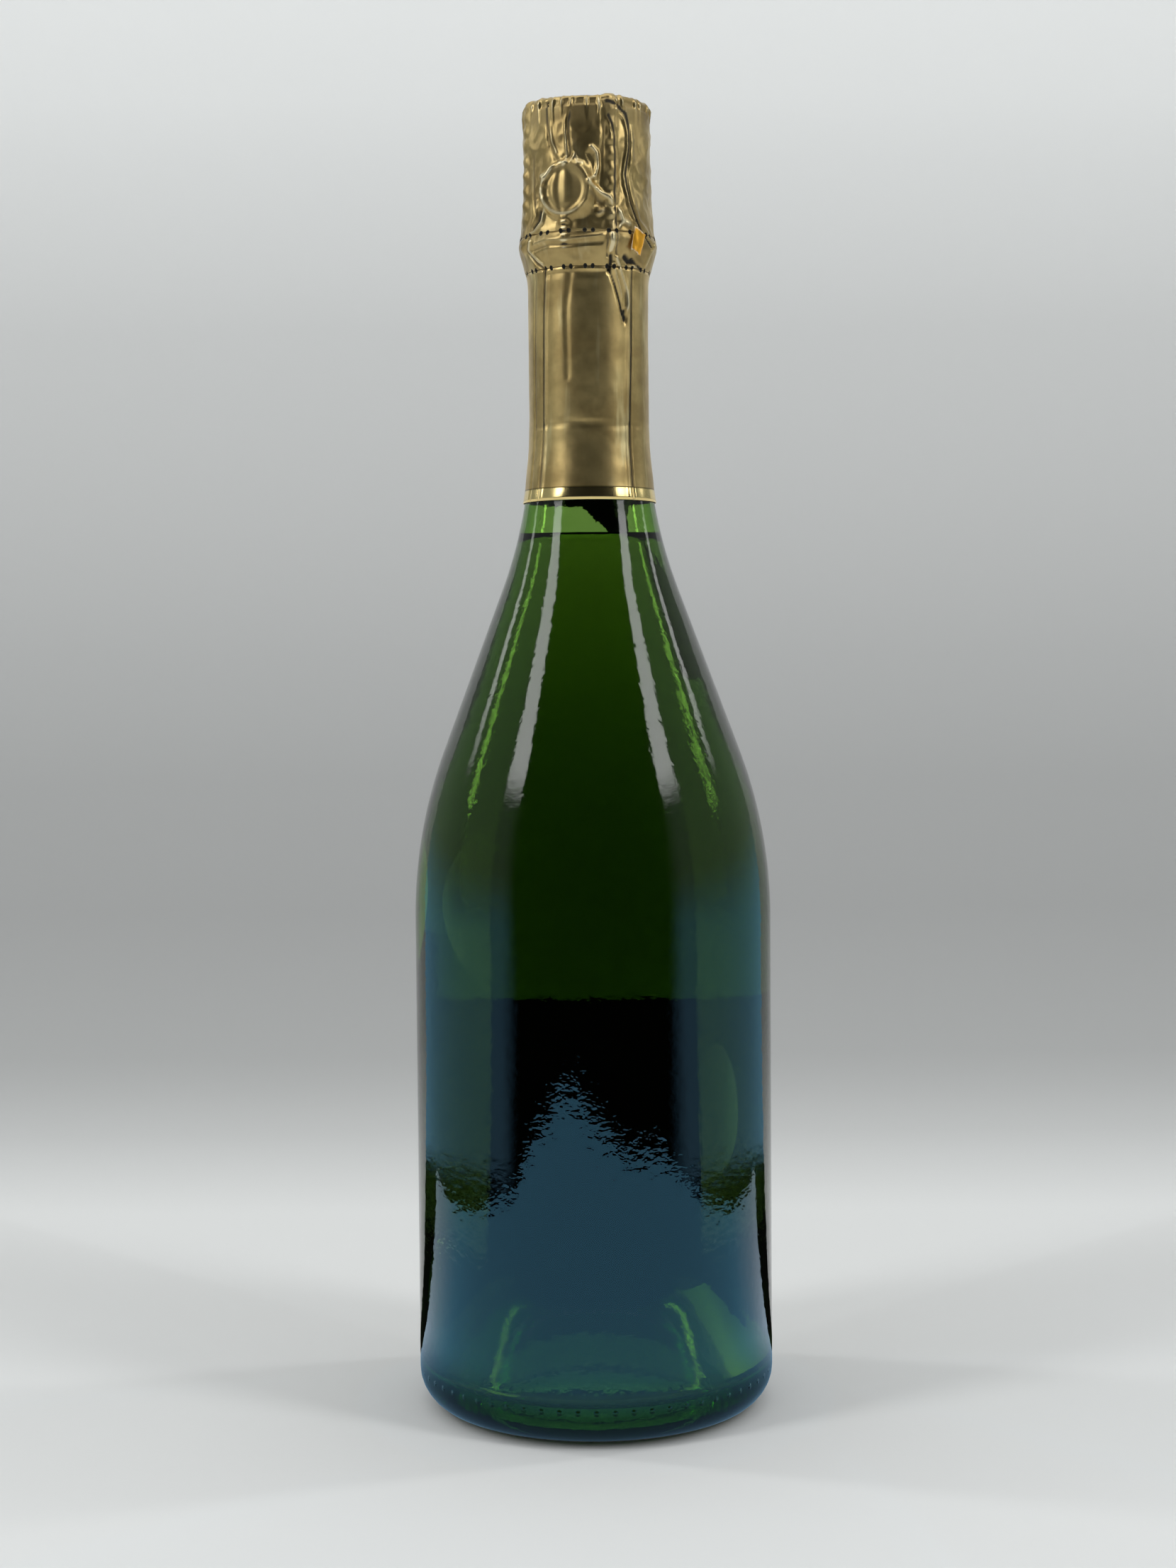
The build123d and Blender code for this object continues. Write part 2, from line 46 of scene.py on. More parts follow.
class Signal:
    def __init__(self, bench, socket):
        self.bench = bench
        self.socket = socket

    def maths(self, operation, *values):
        return self.bench.node("Math", {"operation": operation}, dict(enumerate(values)))

    def __add__(self, other):
        return self.maths("ADD", self, other)

    def __radd__(self, other):
        return self.maths("ADD", other, self)

    def __sub__(self, other):
        return self.maths("SUBTRACT", self, other)

    def __rsub__(self, other):
        return self.maths("SUBTRACT", other, self)

    def __mul__(self, other):
        return self.maths("MULTIPLY", self, other)

    def __rmul__(self, other):
        return self.maths("MULTIPLY", other, self)

    def __truediv__(self, other):
        return self.maths("DIVIDE", self, other)

    def __rtruediv__(self, other):
        return self.maths("DIVIDE", other, self)

    def __abs__(self):
        return self.maths("ABSOLUTE", self)

    def above(self, low, high):  # 0 below low, 1 above high, smooth between
        settings = {"interpolation_type": "SMOOTHSTEP"}
        return self.bench.node("MapRange", settings, {"Value": self, "From Min": low, "From Max": high})

    def most(self, other):
        return self.maths("MAXIMUM", self, other)

    def root(self):
        return self.maths("SQRT", self)

    def rounded(self):
        return self.maths("ROUND", self)


class Bench:
    def __init__(self, name):
        self.material = bpy.data.materials.new(name)
        self.material.use_nodes = True
        self.tree = self.material.node_tree
        self.tree.nodes.clear()

    def node(self, kind, settings=None, values=None, out=0):
        made = self.tree.nodes.new("ShaderNode" + kind)
        for key, value in (settings or {}).items():
            if key == "stops":
                ramp = made.color_ramp.elements
                while len(ramp) < len(value):
                    ramp.new(1)
                for element, (place, colour) in zip(ramp, value):
                    element.position = place
                    element.color = (*colour, 1)
            else:
                setattr(made, key, value)
        for key, value in (values or {}).items():
            self.feed(made.inputs[key], value)
        return Signal(self, made.outputs[out])

    def feed(self, socket, value):
        if isinstance(value, Signal):
            self.tree.links.new(value.socket, socket)
        elif hasattr(value, "__len__") and socket.type == "RGBA":
            socket.default_value = (*value, 1)
        else:
            socket.default_value = value

    def place(self):  # in metres
        return self.node("TexCoord", out=3)

    def axes(self):  # x, y and z in millimetres
        split = self.node("SeparateXYZ", values={0: self.place()}).socket.node
        return [Signal(self, output) * 1000 for output in split.outputs]

    def around(self):  # degrees from the bottle's near side, distance from its axis and height in millimetres
        x, y, z = self.axes()
        return x.maths("ARCTAN2", x, 0 - y) * (180 / pi), (x * x + y * y).root(), z

    def noise(self, vector, scale, detail=2.0, rough=0.5):
        values = {"Vector": vector, "Scale": scale, "Detail": detail, "Roughness": rough}
        return self.node("TexNoise", values=values)

    def streaks(self, vector, scales, detail, rough=0.5):  # noise with its own scale along each axis
        stretched = self.node("Mapping", values={"Vector": vector, "Scale": scales})
        return self.noise(stretched, 1.0, detail, rough)

    def mixed(self, share, first, second):
        return self.node("Mix", {"data_type": "RGBA"}, {0: share, 6: first, 7: second}, 2)

    def bump(self, height, distance, strength=1.0, normal=None):
        values = {"Height": height, "Distance": distance, "Strength": strength}
        if normal:
            values["Normal"] = normal
        return self.node("Bump", values=values)

    def surface(self, values, volume=None):
        shader = self.node("BsdfPrincipled", values=values)
        finish = self.tree.nodes.new("ShaderNodeOutputMaterial")
        self.tree.links.new(shader.socket, finish.inputs["Surface"])
        if volume:
            self.tree.links.new(volume.socket, finish.inputs["Volume"])
        return self.material

    def opaque(self, colour, rough, normal, metal=0.0):
        values = {"Base Color": colour, "Roughness": rough, "Normal": normal, "Metallic": metal}
        return self.surface(values)


# Mesh tools

def arcStops(centre, radius, start, end, steps):
    # stops on an arc in the (radius, height) plane, angles in degrees
    angles = [radians(start + (end - start) * step / steps) for step in range(steps + 1)]
    return [(centre[0] + radius * cos(a), centre[1] + radius * sin(a)) for a in angles]


def roundCorners(points, rounds, steps=6):
    # a line through points, with an arc at each inner corner that has a round
    stops = [points[0]]
    for before, corner, after, radius in zip(points, points[1:], points[2:], rounds):
        if not radius:
            stops.append(corner)
            continue
        corner = Vector(corner)
        toBefore = (Vector(before) - corner).normalized()
        toAfter = (Vector(after) - corner).normalized()
        half = toBefore.angle(toAfter) / 2
        centre = corner + (toBefore + toAfter).normalized() * (radius / sin(half))
        first = corner + toBefore * (radius / tan(half)) - centre
        last = corner + toAfter * (radius / tan(half)) - centre
        turns = [first.slerp(last, step / steps).normalized() for step in range(steps + 1)]
        stops += [tuple(centre + turn * radius) for turn in turns]
    return stops + [points[-1]]


def evenStops(points, spacing):
    # the same line with more stops, none further apart than the spacing
    stops = [points[0]]
    for before, after in zip(points, points[1:]):
        parts = max(1, round(hypot(after[0] - before[0], after[1] - before[1]) / spacing))
        for part in range(1, parts + 1):
            stops.append(tuple(Vector(before).lerp(Vector(after), part / parts)))
    return stops


def spunMesh(profile, steps, closed=False, sweep=360.0, start=0.0):
    # a profile of (radius, height) stops in millimetres, spun round the bottle's axis
    mesh = bmesh.new()
    turn = Matrix.Rotation(radians(start), 3, "Z")
    verts = [mesh.verts.new(turn @ Vector((radius * mm, 0, height * mm))) for radius, height in profile]
    ends = zip(verts, verts[1:] + verts[:1] if closed else verts[1:])
    edges = [mesh.edges.new(pair) for pair in ends]
    bmesh.ops.spin(
        mesh, geom=verts + edges, cent=(0, 0, 0), axis=(0, 0, 1), angle=radians(sweep), steps=steps,
        use_merge=sweep >= 360,
    )
    bmesh.ops.remove_doubles(mesh, verts=mesh.verts, dist=1e-7)
    bmesh.ops.recalc_face_normals(mesh, faces=mesh.faces)
    if mesh.edges and any(edge.is_boundary for edge in mesh.edges):  # an open shell can come out inside out
        outward = sum(face.normal.xy.dot(face.calc_center_median().xy) for face in mesh.faces)
        if outward < 0:
            bmesh.ops.reverse_faces(mesh, faces=mesh.faces)
    return mesh


def pieceFrom(mesh, name, body, material, nodes=(), smooth=True):
    data = bpy.data.meshes.new(name)
    mesh.to_mesh(data)
    mesh.free()
    piece = bpy.data.objects.new(name, data)
    bpy.context.scene.collection.objects.link(piece)
    for face in data.polygons:
        face.use_smooth = smooth
    data.materials.append(material)
    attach(piece, body)
    if nodes:
        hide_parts(*nodes)
    return piece


# Glass and wine

glassLook = {
    "height": 300.0, "body": 44.45, "neck": 14.6, "heelRound": 9.0,
    "shoulderStart": 122.0, "shoulderRound": 119.0, "neckStart": 243.5, "neckRound": 112.0,
    "puntDepth": 33.0, "puntFoot": 32.2, "puntCrown": 15.0, "puntRound": 18.0, "footRound": 1.5,
    "wall": 4.85, "neckWall": 4.5, "puntWall": 6.0, "floor": 9.0, "innerHeelRound": 4.0, "valleyRound": 2.5,
    "throat": 13.9, "throatBottom": 281.9, "taper": 4.0,
    "ring": 15.2, "ringBottom": 287.9, "ringTop": 292.9, "ringRound": 0.9,
    "groove": 13.4, "lip": 14.45, "lipBottom": 294.5, "lipRound": 1.2,
    "bore": 9.0, "boreDepth": 27.0, "flare": 14.0,
    "turnSteps": 160, "spacing": 2.6, "arcSteps": 22, "waviness": 0.16, "waveLength": 26.0,
    "dotCount": 63, "dotHeight": 9.4, "dotTop": 0.1, "dotRadius": 0.8, "dotDepth": 0.2,
    "ripple": (420, 420, 520), "rippleDepth": 0.08, "draw": (60, 60, 14), "drawDepth": 0.6, "index": 1.5,
    "absorb": (0.41, 0.67, 0.0), "density": 280.0,
}
wineLook = {
    "level": 215.5, "overlap": 0.05, "meniscus": 1.3, "meniscusReach": 2.2, "meniscusSteps": 8,
    "absorb": (0.45, 0.57, 0.0), "density": 73.0, "index": 1.34,
}


def shoulderStops(body, neck, start, end, lower, upper, steps):
    # body side to neck side: an arc, a straight cone and a counter-arc, all tangent
    across = lower + upper - (body - neck)
    rise = end - start
    lean = degrees(asin((lower + upper) / hypot(across, rise)) - atan2(across, rise))
    stops = arcStops((body - lower, start), lower, 0, lean, steps)
    return stops + arcStops((neck + upper, end), upper, 180 + lean, 180, steps)


def cavityStops(look, gap):
    # the inside of the glass from the crown of the punt to the foot of the neck
    body = look["body"] - look["wall"] - gap
    neck = look["neck"] - look["neckWall"] - gap
    slope = (look["puntFoot"] - look["puntCrown"]) / look["puntDepth"]
    shift = (look["puntWall"] + gap) * sqrt(1 + slope**2)
    crown = look["puntDepth"] + look["puntWall"] + gap
    floor = look["floor"] + gap
    base = roundCorners(
        [
            (0, crown),
            (look["puntFoot"] - slope * crown + shift, crown),
            (look["puntFoot"] - slope * floor + shift, floor),
            (body, floor),
            (body, look["shoulderStart"]),
        ],
        [look["puntRound"], look["valleyRound"], look["innerHeelRound"]],
    )
    lower = look["shoulderRound"] - look["wall"] - gap
    upper = look["neckRound"] + look["neckWall"] + gap
    ends = look["shoulderStart"], look["neckStart"]
    return base[:-1] + shoulderStops(body, neck, *ends, lower, upper, look["arcSteps"])


def glassOutline(look):
    outside = roundCorners(
        [
            (0, look["puntDepth"]),
            (look["puntCrown"], look["puntDepth"]),
            (look["puntFoot"], 0),
            (look["body"], 0),
            (look["body"], look["shoulderStart"]),
        ],
        [look["puntRound"], look["footRound"], look["heelRound"]],
        8,
    )
    ends = look["shoulderStart"], look["neckStart"]
    shoulder = shoulderStops(
        look["body"], look["neck"], *ends, look["shoulderRound"], look["neckRound"], look["arcSteps"]
    )
    finish = roundCorners(
        [
            shoulder[-1],
            (look["neck"], look["throatBottom"] - look["taper"]),
            (look["throat"], look["throatBottom"]),
            (look["throat"], look["ringBottom"]),
            (look["ring"], look["ringBottom"]),
            (look["ring"], look["ringTop"]),
            (look["groove"], look["ringTop"]),
            (look["groove"], look["lipBottom"]),
            (look["lip"], look["lipBottom"]),
            (look["lip"], look["height"]),
            (look["bore"], look["height"]),
            (look["bore"], look["height"] - look["boreDepth"]),
            (look["neck"] - look["neckWall"], look["height"] - look["boreDepth"] - look["flare"]),
            (look["neck"] - look["neckWall"], look["neckStart"]),
        ],
        [8, 8, 0.5, look["ringRound"], look["ringRound"], 0.5, 0.5, 0.8, look["lipRound"], 0.8, 8, 8],
        4,
    )
    whole = outside[:-1] + shoulder[:-1] + finish[:-1] + cavityStops(look, 0)[::-1]
    return evenStops(whole, look["spacing"])


def clearBody(bench, look, extra):
    # clear surface over a volume that takes up colour with depth
    volume = bench.node("VolumeAbsorption", values={"Color": look["absorb"], "Density": look["density"]})
    white = (1.0, 1.0, 1.0)
    values = {"Base Color": white, "Roughness": 0.0, "Transmission Weight": 1.0, "IOR": look["index"]}
    return bench.surface(values | extra, volume)


def glassMaterial(look):
    bench = Bench("bottleGlass")
    place = bench.place()
    azimuth, reach, height = bench.around()
    ripple = bench.streaks(place, look["ripple"], 2.0, 0.55)
    drawn = bench.streaks(place, look["draw"], 1.0)
    step = azimuth * (look["dotCount"] / 360)
    beside = (step - step.rounded()) * (2 * pi * look["body"] / look["dotCount"])
    rise = height - look["dotHeight"]
    dots = 1 - (beside * beside + rise * rise).root().above(look["dotTop"], look["dotRadius"])
    normal = bench.bump(dots, look["dotDepth"] * mm, 1.0)
    normal = bench.bump(ripple, look["rippleDepth"] * mm, 0.5, normal)
    normal = bench.bump(drawn, look["drawDepth"] * mm, 0.35, normal)
    return clearBody(bench, look, {"Normal": normal})


def wineMaterial(look):
    return clearBody(Bench("goldenWine"), look, {})


def makeGlass():
    look = glassLook
    mesh = spunMesh(glassOutline(look), look["turnSteps"])
    inner = look["wall"] * 0.5
    for vert in mesh.verts:  # the inner wall of a blown bottle is a little uneven
        radius = hypot(vert.co.x, vert.co.y) / mm
        height = vert.co.z / mm
        if look["floor"] < height < look["neckStart"] and radius > look["puntWall"]:
            wall = outerRadius(height) - radius
            if wall > inner:
                spot = Vector((vert.co.x, vert.co.y, vert.co.z * 0.5)) / mm / look["waveLength"]
                push = 1 + noise.noise(spot) * look["waviness"] / radius
                vert.co.x *= push
                vert.co.y *= push
    return pieceFrom(mesh, "glass_shell", "bottle", glassMaterial(look), ["glass_bottle"])


def outerRadius(height):
    # outer radius of the glass between heel and neck at a height
    look = glassLook
    if height <= look["shoulderStart"]:
        return look["body"]
    ends = look["shoulderStart"], look["neckStart"]
    stops = shoulderStops(look["body"], look["neck"], *ends, look["shoulderRound"], look["neckRound"], 12)
    radii, heights = zip(*stops)
    return float(np.interp(height, heights, radii))


def makeWine():
    look = glassLook
    level = wineLook["level"]
    stops = cavityStops(look, -wineLook["overlap"])
    below = [stop for stop in stops if stop[1] < level]
    radii, heights = zip(*[stop for stop in stops if stop[1] > glassLook["shoulderStart"]])
    rim = float(np.interp(level + wineLook["meniscus"], heights, radii))
    climb = []
    for step in range(wineLook["meniscusSteps"] + 1):
        share = step / wineLook["meniscusSteps"]
        away = share * wineLook["meniscusReach"]
        climb.append((rim - away, level + wineLook["meniscus"] * (1 - share) ** 2))
    mesh = spunMesh(evenStops(below + climb + [(0, level)], look["spacing"]), look["turnSteps"])
    return pieceFrom(mesh, "wine_fill", "bottle", wineMaterial(wineLook), ["wine"])


labelLook = {
    "bottom": 21.0, "height": 77.0, "halfAngle": 60.0, "thickness": 0.14, "sink": 0.06,
    "spacing": 4.0, "steps": 96, "front": (0.75, 0.72, 0.64), "frontDull": (0.705, 0.677, 0.602),
    "back": (0.004, 0.005, 0.007), "cloud": 90.0, "fibre": 2600.0, "fibreDepth": 0.03,
}


def labelMaterial(look):
    bench = Bench("labelPaper")
    place = bench.place()
    azimuth, reach, height = bench.around()
    fibre = bench.noise(place, look["fibre"], 3.0, 0.6)
    cloud = bench.noise(place, look["cloud"], 3.0)
    outside = ((reach - glassLook["body"]) / look["thickness"]).above(0.2, 0.4)
    colour = bench.mixed(outside, look["back"], bench.mixed(cloud, look["front"], look["frontDull"]))
    normal = bench.bump(fibre, look["fibreDepth"] * mm, 0.5)
    values = {"Base Color": colour, "Roughness": 0.7, "Specular IOR Level": 0.0, "Normal": normal}
    return bench.surface(values)


def makeLabel():
    look = labelLook
    inner = glassLook["body"] - look["sink"]
    outer = glassLook["body"] + look["thickness"]
    low = look["bottom"]
    high = low + look["height"]
    profile = evenStops([(inner, low), (outer, low), (outer, high), (inner, high)], look["spacing"])
    mesh = spunMesh(profile, look["steps"], True, 2 * look["halfAngle"], 90 - look["halfAngle"])
    loops = [edge for edge in mesh.edges if edge.is_boundary]
    bmesh.ops.contextual_create(mesh, geom=loops)
    bmesh.ops.recalc_face_normals(mesh, faces=mesh.faces)
    paper = labelMaterial(look)
    return pieceFrom(mesh, "label_sheet", "bottle", paper, ["front_label"], False)


makeGlass()
makeWine()
makeLabel()
print("glass, wine and label made")


# Cage: the wires that the foil is drawn over

cageLook = {
    "legs": (-68.5, 21.5, 111.5, 201.5), "legWire": 0.35, "strandOffset": 0.37, "halfTurns": 9,
    "top": (15.57, 320.2), "foot": (16.13, 288.14), "eye": (16.55, 287.4), "eyeRadius": 0.85,
    "beltWire": 0.45, "twist": -20.0, "stemRadius": 16.25, "stemOffset": 0.47, "stemHalfTurns": 2,
    "stemBottom": 288.95, "stemTop": 292.25, "loopRadius": 5.7, "loopFoot": 1.5, "ringRadius": 11.4,
}
# how the foil lies over each wire: flat half width on the wire, and width of the slope beside it
pressLook = {
    "legFlat": 0.35, "legSlope": 1.25, "legSwing": 0.25, "legRoom": 0.1, "legBelow": 1.0, "legTop": 322.5,
    "eyeFlat": 0.6, "eyeSlope": 1.0, "eyeSquash": 0.9, "room": 0.12, "twistPower": 1.5,
    "stemFlat": 0.5, "stemSlope": 0.8, "stemBelow": 1.5, "stemAbove": 0.6,
    "sideTurn": 60.0, "sideNear": 0.95, "slopeAcross": (-2.0, 4.0), "slopes": (0.62, 1.5),
    "innerFlat": 0.4, "innerSlope": 0.45, "fadeStart": 0.2, "fadeLength": 2.2,
    "leastChord": 0.3, "foldReach": 1.4,
}


def loopCentre():
    look = cageLook
    across = look["stemOffset"] + look["loopFoot"]
    return look["stemTop"] + sqrt((look["loopRadius"] + look["loopFoot"]) ** 2 - across**2)


# Foil: hood, tear band and sleeve

foilLook = {
    "wall": 0.12, "turnSteps": 400, "spacing": 0.36, "sleeveSpacing": 0.8, "corkReach": 15.5,
    "outline": (  # height and radius, like those of the tongue's seat
        (225.0, 16.55), (226.2, 16.4), (228.6, 16.0), (232.0, 15.7), (235.6, 15.3), (239.0, 15.02),
        (244.0, 14.85), (262.0, 14.82), (276.0, 14.86), (279.0, 14.95), (280.6, 15.2), (282.6, 15.8),
        (284.3, 16.3), (286.0, 16.8), (287.8, 17.04), (289.5, 16.72), (292.0, 16.32), (294.7, 16.12),
        (296.5, 15.98), (300.0, 15.76), (306.8, 15.68), (313.0, 15.76), (319.0, 15.6), (320.4, 15.45),
    ),
    "lowerLine": 281.0, "upperLine": 289.3, "lineGap": 0.1, "bottom": 225.0,
    "rimRound": 1.7, "topHeight": 322.2, "topDish": 0.2, "dishRadius": 6.0,
    "tongue": 151.0, "tongueHalf": 38.0, "tongueDrop": 7.1, "tongueEase": 12.0, "tongueFollow": 1.5,
    "tongueShape": (
        (-25, 0), (-20, 0.3), (-15, 0.93), (-6, 1.0), (4, 1.0),
        (10, 0.93), (15, 0.66), (21, 0.55), (29, 0.3), (37, 0),
    ),
    "tongueWaves": ((0.03, 0.9), (0.02, 2.3)),
    "tongueSeat": ((217.5, 18.5), (219.8, 17.85), (222.0, 17.3), (225.0, 16.75)),
    "corkSpan": (298.0, 319.5), "coverEase": 0.2,
    "gold": (0.56, 0.42, 0.18), "brown": (0.33, 0.235, 0.095), "pale": (0.78, 0.65, 0.36),
    # worn is the pale of real worn and torn streaks and also of the painted highlights on ridges; hole is the
    # black of real holes and also of the painted shade in creases and gaps
    "bright": (0.95, 0.76, 0.34), "shade": (0.12, 0.08, 0.02), "worn": (0.90, 0.79, 0.50),
    "hole": (0.006, 0.006, 0.005), "inside": (0.006, 0.006, 0.005), "insidePale": (0.012, 0.012, 0.01),
    "cloud": 70.0, "cloudEnds": (0.35, 0.68), "streak": (260, 260, 40), "streakEnds": (0.55, 0.75),
    "wearAndHighlightEnds": (0.12, 0.9), "darkEnds": (0.1, 0.9), "grain": 1500.0, "grainDepth": 0.07, "spot": 420.0,
    "rough": 0.23, "sleeveRough": 0.21, "rimRough": 0.18, "sleeveLightGain": 1.3, "brightest": 0.95,
    "holePitch": 20.0, "holeStart": 1.0, "holeHalf": 0.98, "holeRadius": 0.53, "holeReach": 16.6,
    "lineEnds": (0.03, 0.12), "rimEnds": (2.95, 3.15), "rimLine": 3.1, "rimLineEnds": (0.05, 0.28),
}

# creases in the foil: height and half width in mm, tone from -1 dark to 1 bright (painted shade in hollows,
# gaps and under the flap, painted highlight on ridges; a few are real holes, torn teeth and a worn strip),
# and azimuth in degrees and height in mm along each
creaseLook = {
    "seam": (-0.4, 0.34, -1.0, (
        (17.6, 320.2), (27.3, 319.6), (37.1, 317.6), (39.9, 315.0), (40.4, 310.0), (36.3, 303.2),
        (38.4, 299.6), (41.3, 296.0), (45.8, 293.2), (52.0, 290.2), (60.0, 288.0), (70.0, 286.6),
    )),
    "seamLip": (0.34, 0.45, 0.25, (
        (26.0, 318.4), (34.5, 316.4), (37.2, 313.6), (37.6, 309.6),
        (33.6, 303.2), (35.6, 299.6), (38.6, 295.8), (43.4, 292.6),
    )),
    "seamFar": (0.2, 0.7, 0.0, (
        (44.0, 315.0), (44.0, 309.0), (40.6, 302.6), (43.6, 297.0), (50.0, 292.6), (60.0, 290.2),
    )),
    "riseMiddle": (-0.26, 0.4, -0.5, (
        (-12.8, 320.6), (-17.0, 315.3), (-16.0, 310.8), (-14.4, 307.5), (-16.5, 305.2),
    )),
    "riseMiddleLip": (0.2, 0.45, 0.45, (
        (-15.0, 320.0), (-19.4, 315.3), (-18.4, 310.8), (-17.4, 307.4), (-20.0, 305.0),
    )),
    "riseLeft": (-0.24, 0.4, -0.4, (
        (-38.4, 320.6), (-37.6, 315.3), (-35.0, 310.8), (-31.0, 307.8), (-26.5, 305.9),
    )),
    "riseLeftLip": (0.18, 0.45, 0.45, ((-35.6, 320.0), (-35.0, 315.3), (-32.4, 311.0), (-28.4, 308.2))),
    "tangleOuter": (0.3, 0.4, 0.8, (
        (-45.5, 303.2), (-40.5, 303.6), (-36.5, 301.9), (-30.0, 305.0), (-24.0, 305.9), (-17.5, 305.6),
    )),
    "tangleInner": (-0.2, 0.35, -0.5, ((-43.0, 301.2), (-38.5, 300.3), (-33.0, 303.4), (-27.0, 305.0))),
    "tangleRight": (0.25, 0.45, 0.5, ((-15.5, 305.4), (-11.0, 307.6), (-8.0, 305.4), (-4.0, 305.4))),
    "crescent": (0.42, 0.5, 0.6, ((3.6, 309.3), (8.4, 307.9), (9.9, 304.6), (7.0, 302.4), (1.4, 301.2))),
    "crescentHollow": (-0.3, 0.6, -0.2, ((1.0, 307.4), (4.6, 305.6), (4.4, 303.4), (0.0, 302.6))),
    "channelLeft": (-0.28, 0.5, -0.3, ((15.4, 314.6), (13.7, 309.3), (11.8, 303.2), (10.6, 300.2))),
    "channelRight": (-0.34, 0.36, -0.8, (
        (18.6, 316.8), (23.4, 313.0), (24.2, 306.3), (23.2, 297.2), (24.8, 290.6),
    )),
    "channelTop": (0.22, 0.6, 0.3, ((11.0, 320.0), (16.6, 316.4), (21.0, 312.4))),
    "pillowLip": (0.42, 0.55, 0.7, (
        (2.5, 300.4), (7.0, 299.4), (10.5, 298.5), (18.3, 297.2), (22.2, 295.4),
    )),
    "pillow": (-0.6, 1.0, -0.45, ((3.4, 298.3), (9.5, 296.4), (15.5, 295.6), (21.0, 294.4))),
    "pillowLow": (0.3, 0.7, 0.45, ((10.0, 293.4), (15.5, 294.4), (21.0, 293.4))),
    "leftEdge": (-0.26, 0.45, -0.4, ((-57.0, 307.8), (-56.0, 297.2), (-53.4, 294.4), (-58.5, 289.6))),
    "fan": (0.34, 0.45, 0.6, ((-39.4, 295.0), (-42.0, 292.0), (-50.0, 290.1), (-58.0, 289.7))),
    "fanHollow": (-0.45, 0.7, -0.8, ((-46.5, 294.6), (-48.0, 292.4), (-53.0, 290.9))),
    "fanFar": (0.26, 0.4, 0.3, ((-50.6, 297.6), (-51.4, 293.8), (-56.6, 291.0))),
    "cornerRight": (0.36, 0.9, 0.5, ((27.0, 294.2), (31.0, 292.2), (37.0, 291.4))),
    "cornerFold": (0.22, 0.35, 0.6, ((29.0, 294.0), (31.4, 291.8), (27.0, 290.3))),
    "bandRidge": (-0.3, 0.4, -0.35, (
        (-52.0, 285.7), (-34.0, 286.3), (-17.5, 286.0), (0.0, 286.3), (10.8, 286.5),
    )),
    "bandRidgeLip": (0.24, 0.5, 0.3, (
        (-50.0, 286.9), (-34.0, 287.5), (-17.5, 287.2), (0.0, 287.6), (12.0, 288.2),
    )),
    "bandLeft": (-0.4, 0.45, -0.6, ((-58.0, 288.6), (-62.0, 285.6), (-53.0, 282.6), (-43.0, 280.8))),
    "bandLeftLip": (0.3, 0.4, 0.8, ((-55.0, 288.0), (-58.6, 285.6), (-50.0, 283.2), (-44.5, 281.9))),
    "stripLeft": (-0.3, 0.35, -0.7, ((17.0, 288.9), (16.6, 286.0), (17.2, 283.4))),
    "stripRight": (-0.3, 0.35, -0.6, ((24.6, 288.9), (24.0, 286.0), (26.4, 283.6))),
    "stripPale": (0.25, 0.7, 0.9, ((20.0, 288.4), (20.4, 286.0), (19.2, 284.6))),
    "stripHollow": (-0.5, 0.5, -1.0, ((20.6, 283.6), (21.4, 282.2), (20.0, 280.2))),
    "tearRidge": (0.42, 0.42, 0.7, (
        (26.0, 283.2), (32.6, 279.4), (38.6, 275.4), (39.6, 272.0), (37.0, 269.9),
    )),
    "tearValley": (-0.34, 0.36, -0.7, ((20.0, 280.4), (25.6, 277.0), (30.0, 273.6), (33.6, 269.9))),
    "tearHole": (-0.5, 0.5, -1.0, ((36.6, 270.6), (36.0, 268.6))),
    "tearBranch": (0.3, 0.4, 0.5, ((24.0, 281.6), (29.0, 277.6), (33.0, 274.0))),
    "flapShade": (-0.5, 0.75, -0.9, ((35.0, 283.4), (39.0, 282.5), (43.0, 282.3))),
    "flapEdge": (-0.3, 0.4, -0.9, ((43.0, 283.0), (49.0, 281.9), (56.0, 281.4))),
    "flapTeeth": (0.2, 0.4, 0.8, ((41.5, 281.6), (50.0, 281.5))),
    "flapFar": (0.34, 0.5, 0.5, ((64.0, 282.4), (67.0, 285.4), (74.0, 287.6))),
    "sleeveLeft": (-0.3, 0.36, -0.7, ((-44.6, 280.4), (-47.4, 270.0), (-50.0, 225.0))),
    "sleeveLeftLip": (0.16, 0.6, 0.3, ((-41.6, 280.4), (-44.4, 270.0), (-47.0, 225.0))),
    "sleeveEdge": (-0.24, 0.4, -0.4, ((-60.0, 280.0), (-62.0, 268.0), (-64.0, 225.0))),
    "sleeveSeam": (-0.3, 0.34, -0.8, ((45.6, 280.6), (45.0, 262.0), (42.0, 240.0), (41.4, 225.0))),
    "sleeveSeamLip": (0.16, 0.7, 0.25, ((42.0, 280.0), (41.2, 262.0), (38.4, 240.0), (37.8, 225.0))),
    "sleeveFold": (-0.12, 0.8, -0.2, ((-16.0, 280.4), (-21.0, 271.0), (-20.0, 255.0))),
    "waist": (-0.12, 0.5, 0.0, ((-60.0, 243.2), (-20.0, 243.8), (25.0, 242.9), (60.0, 243.6))),
    "shoulder": (-0.2, 0.6, -0.2, ((-44.0, 279.8), (-20.0, 280.0), (4.0, 279.7), (18.0, 280.0))),
}
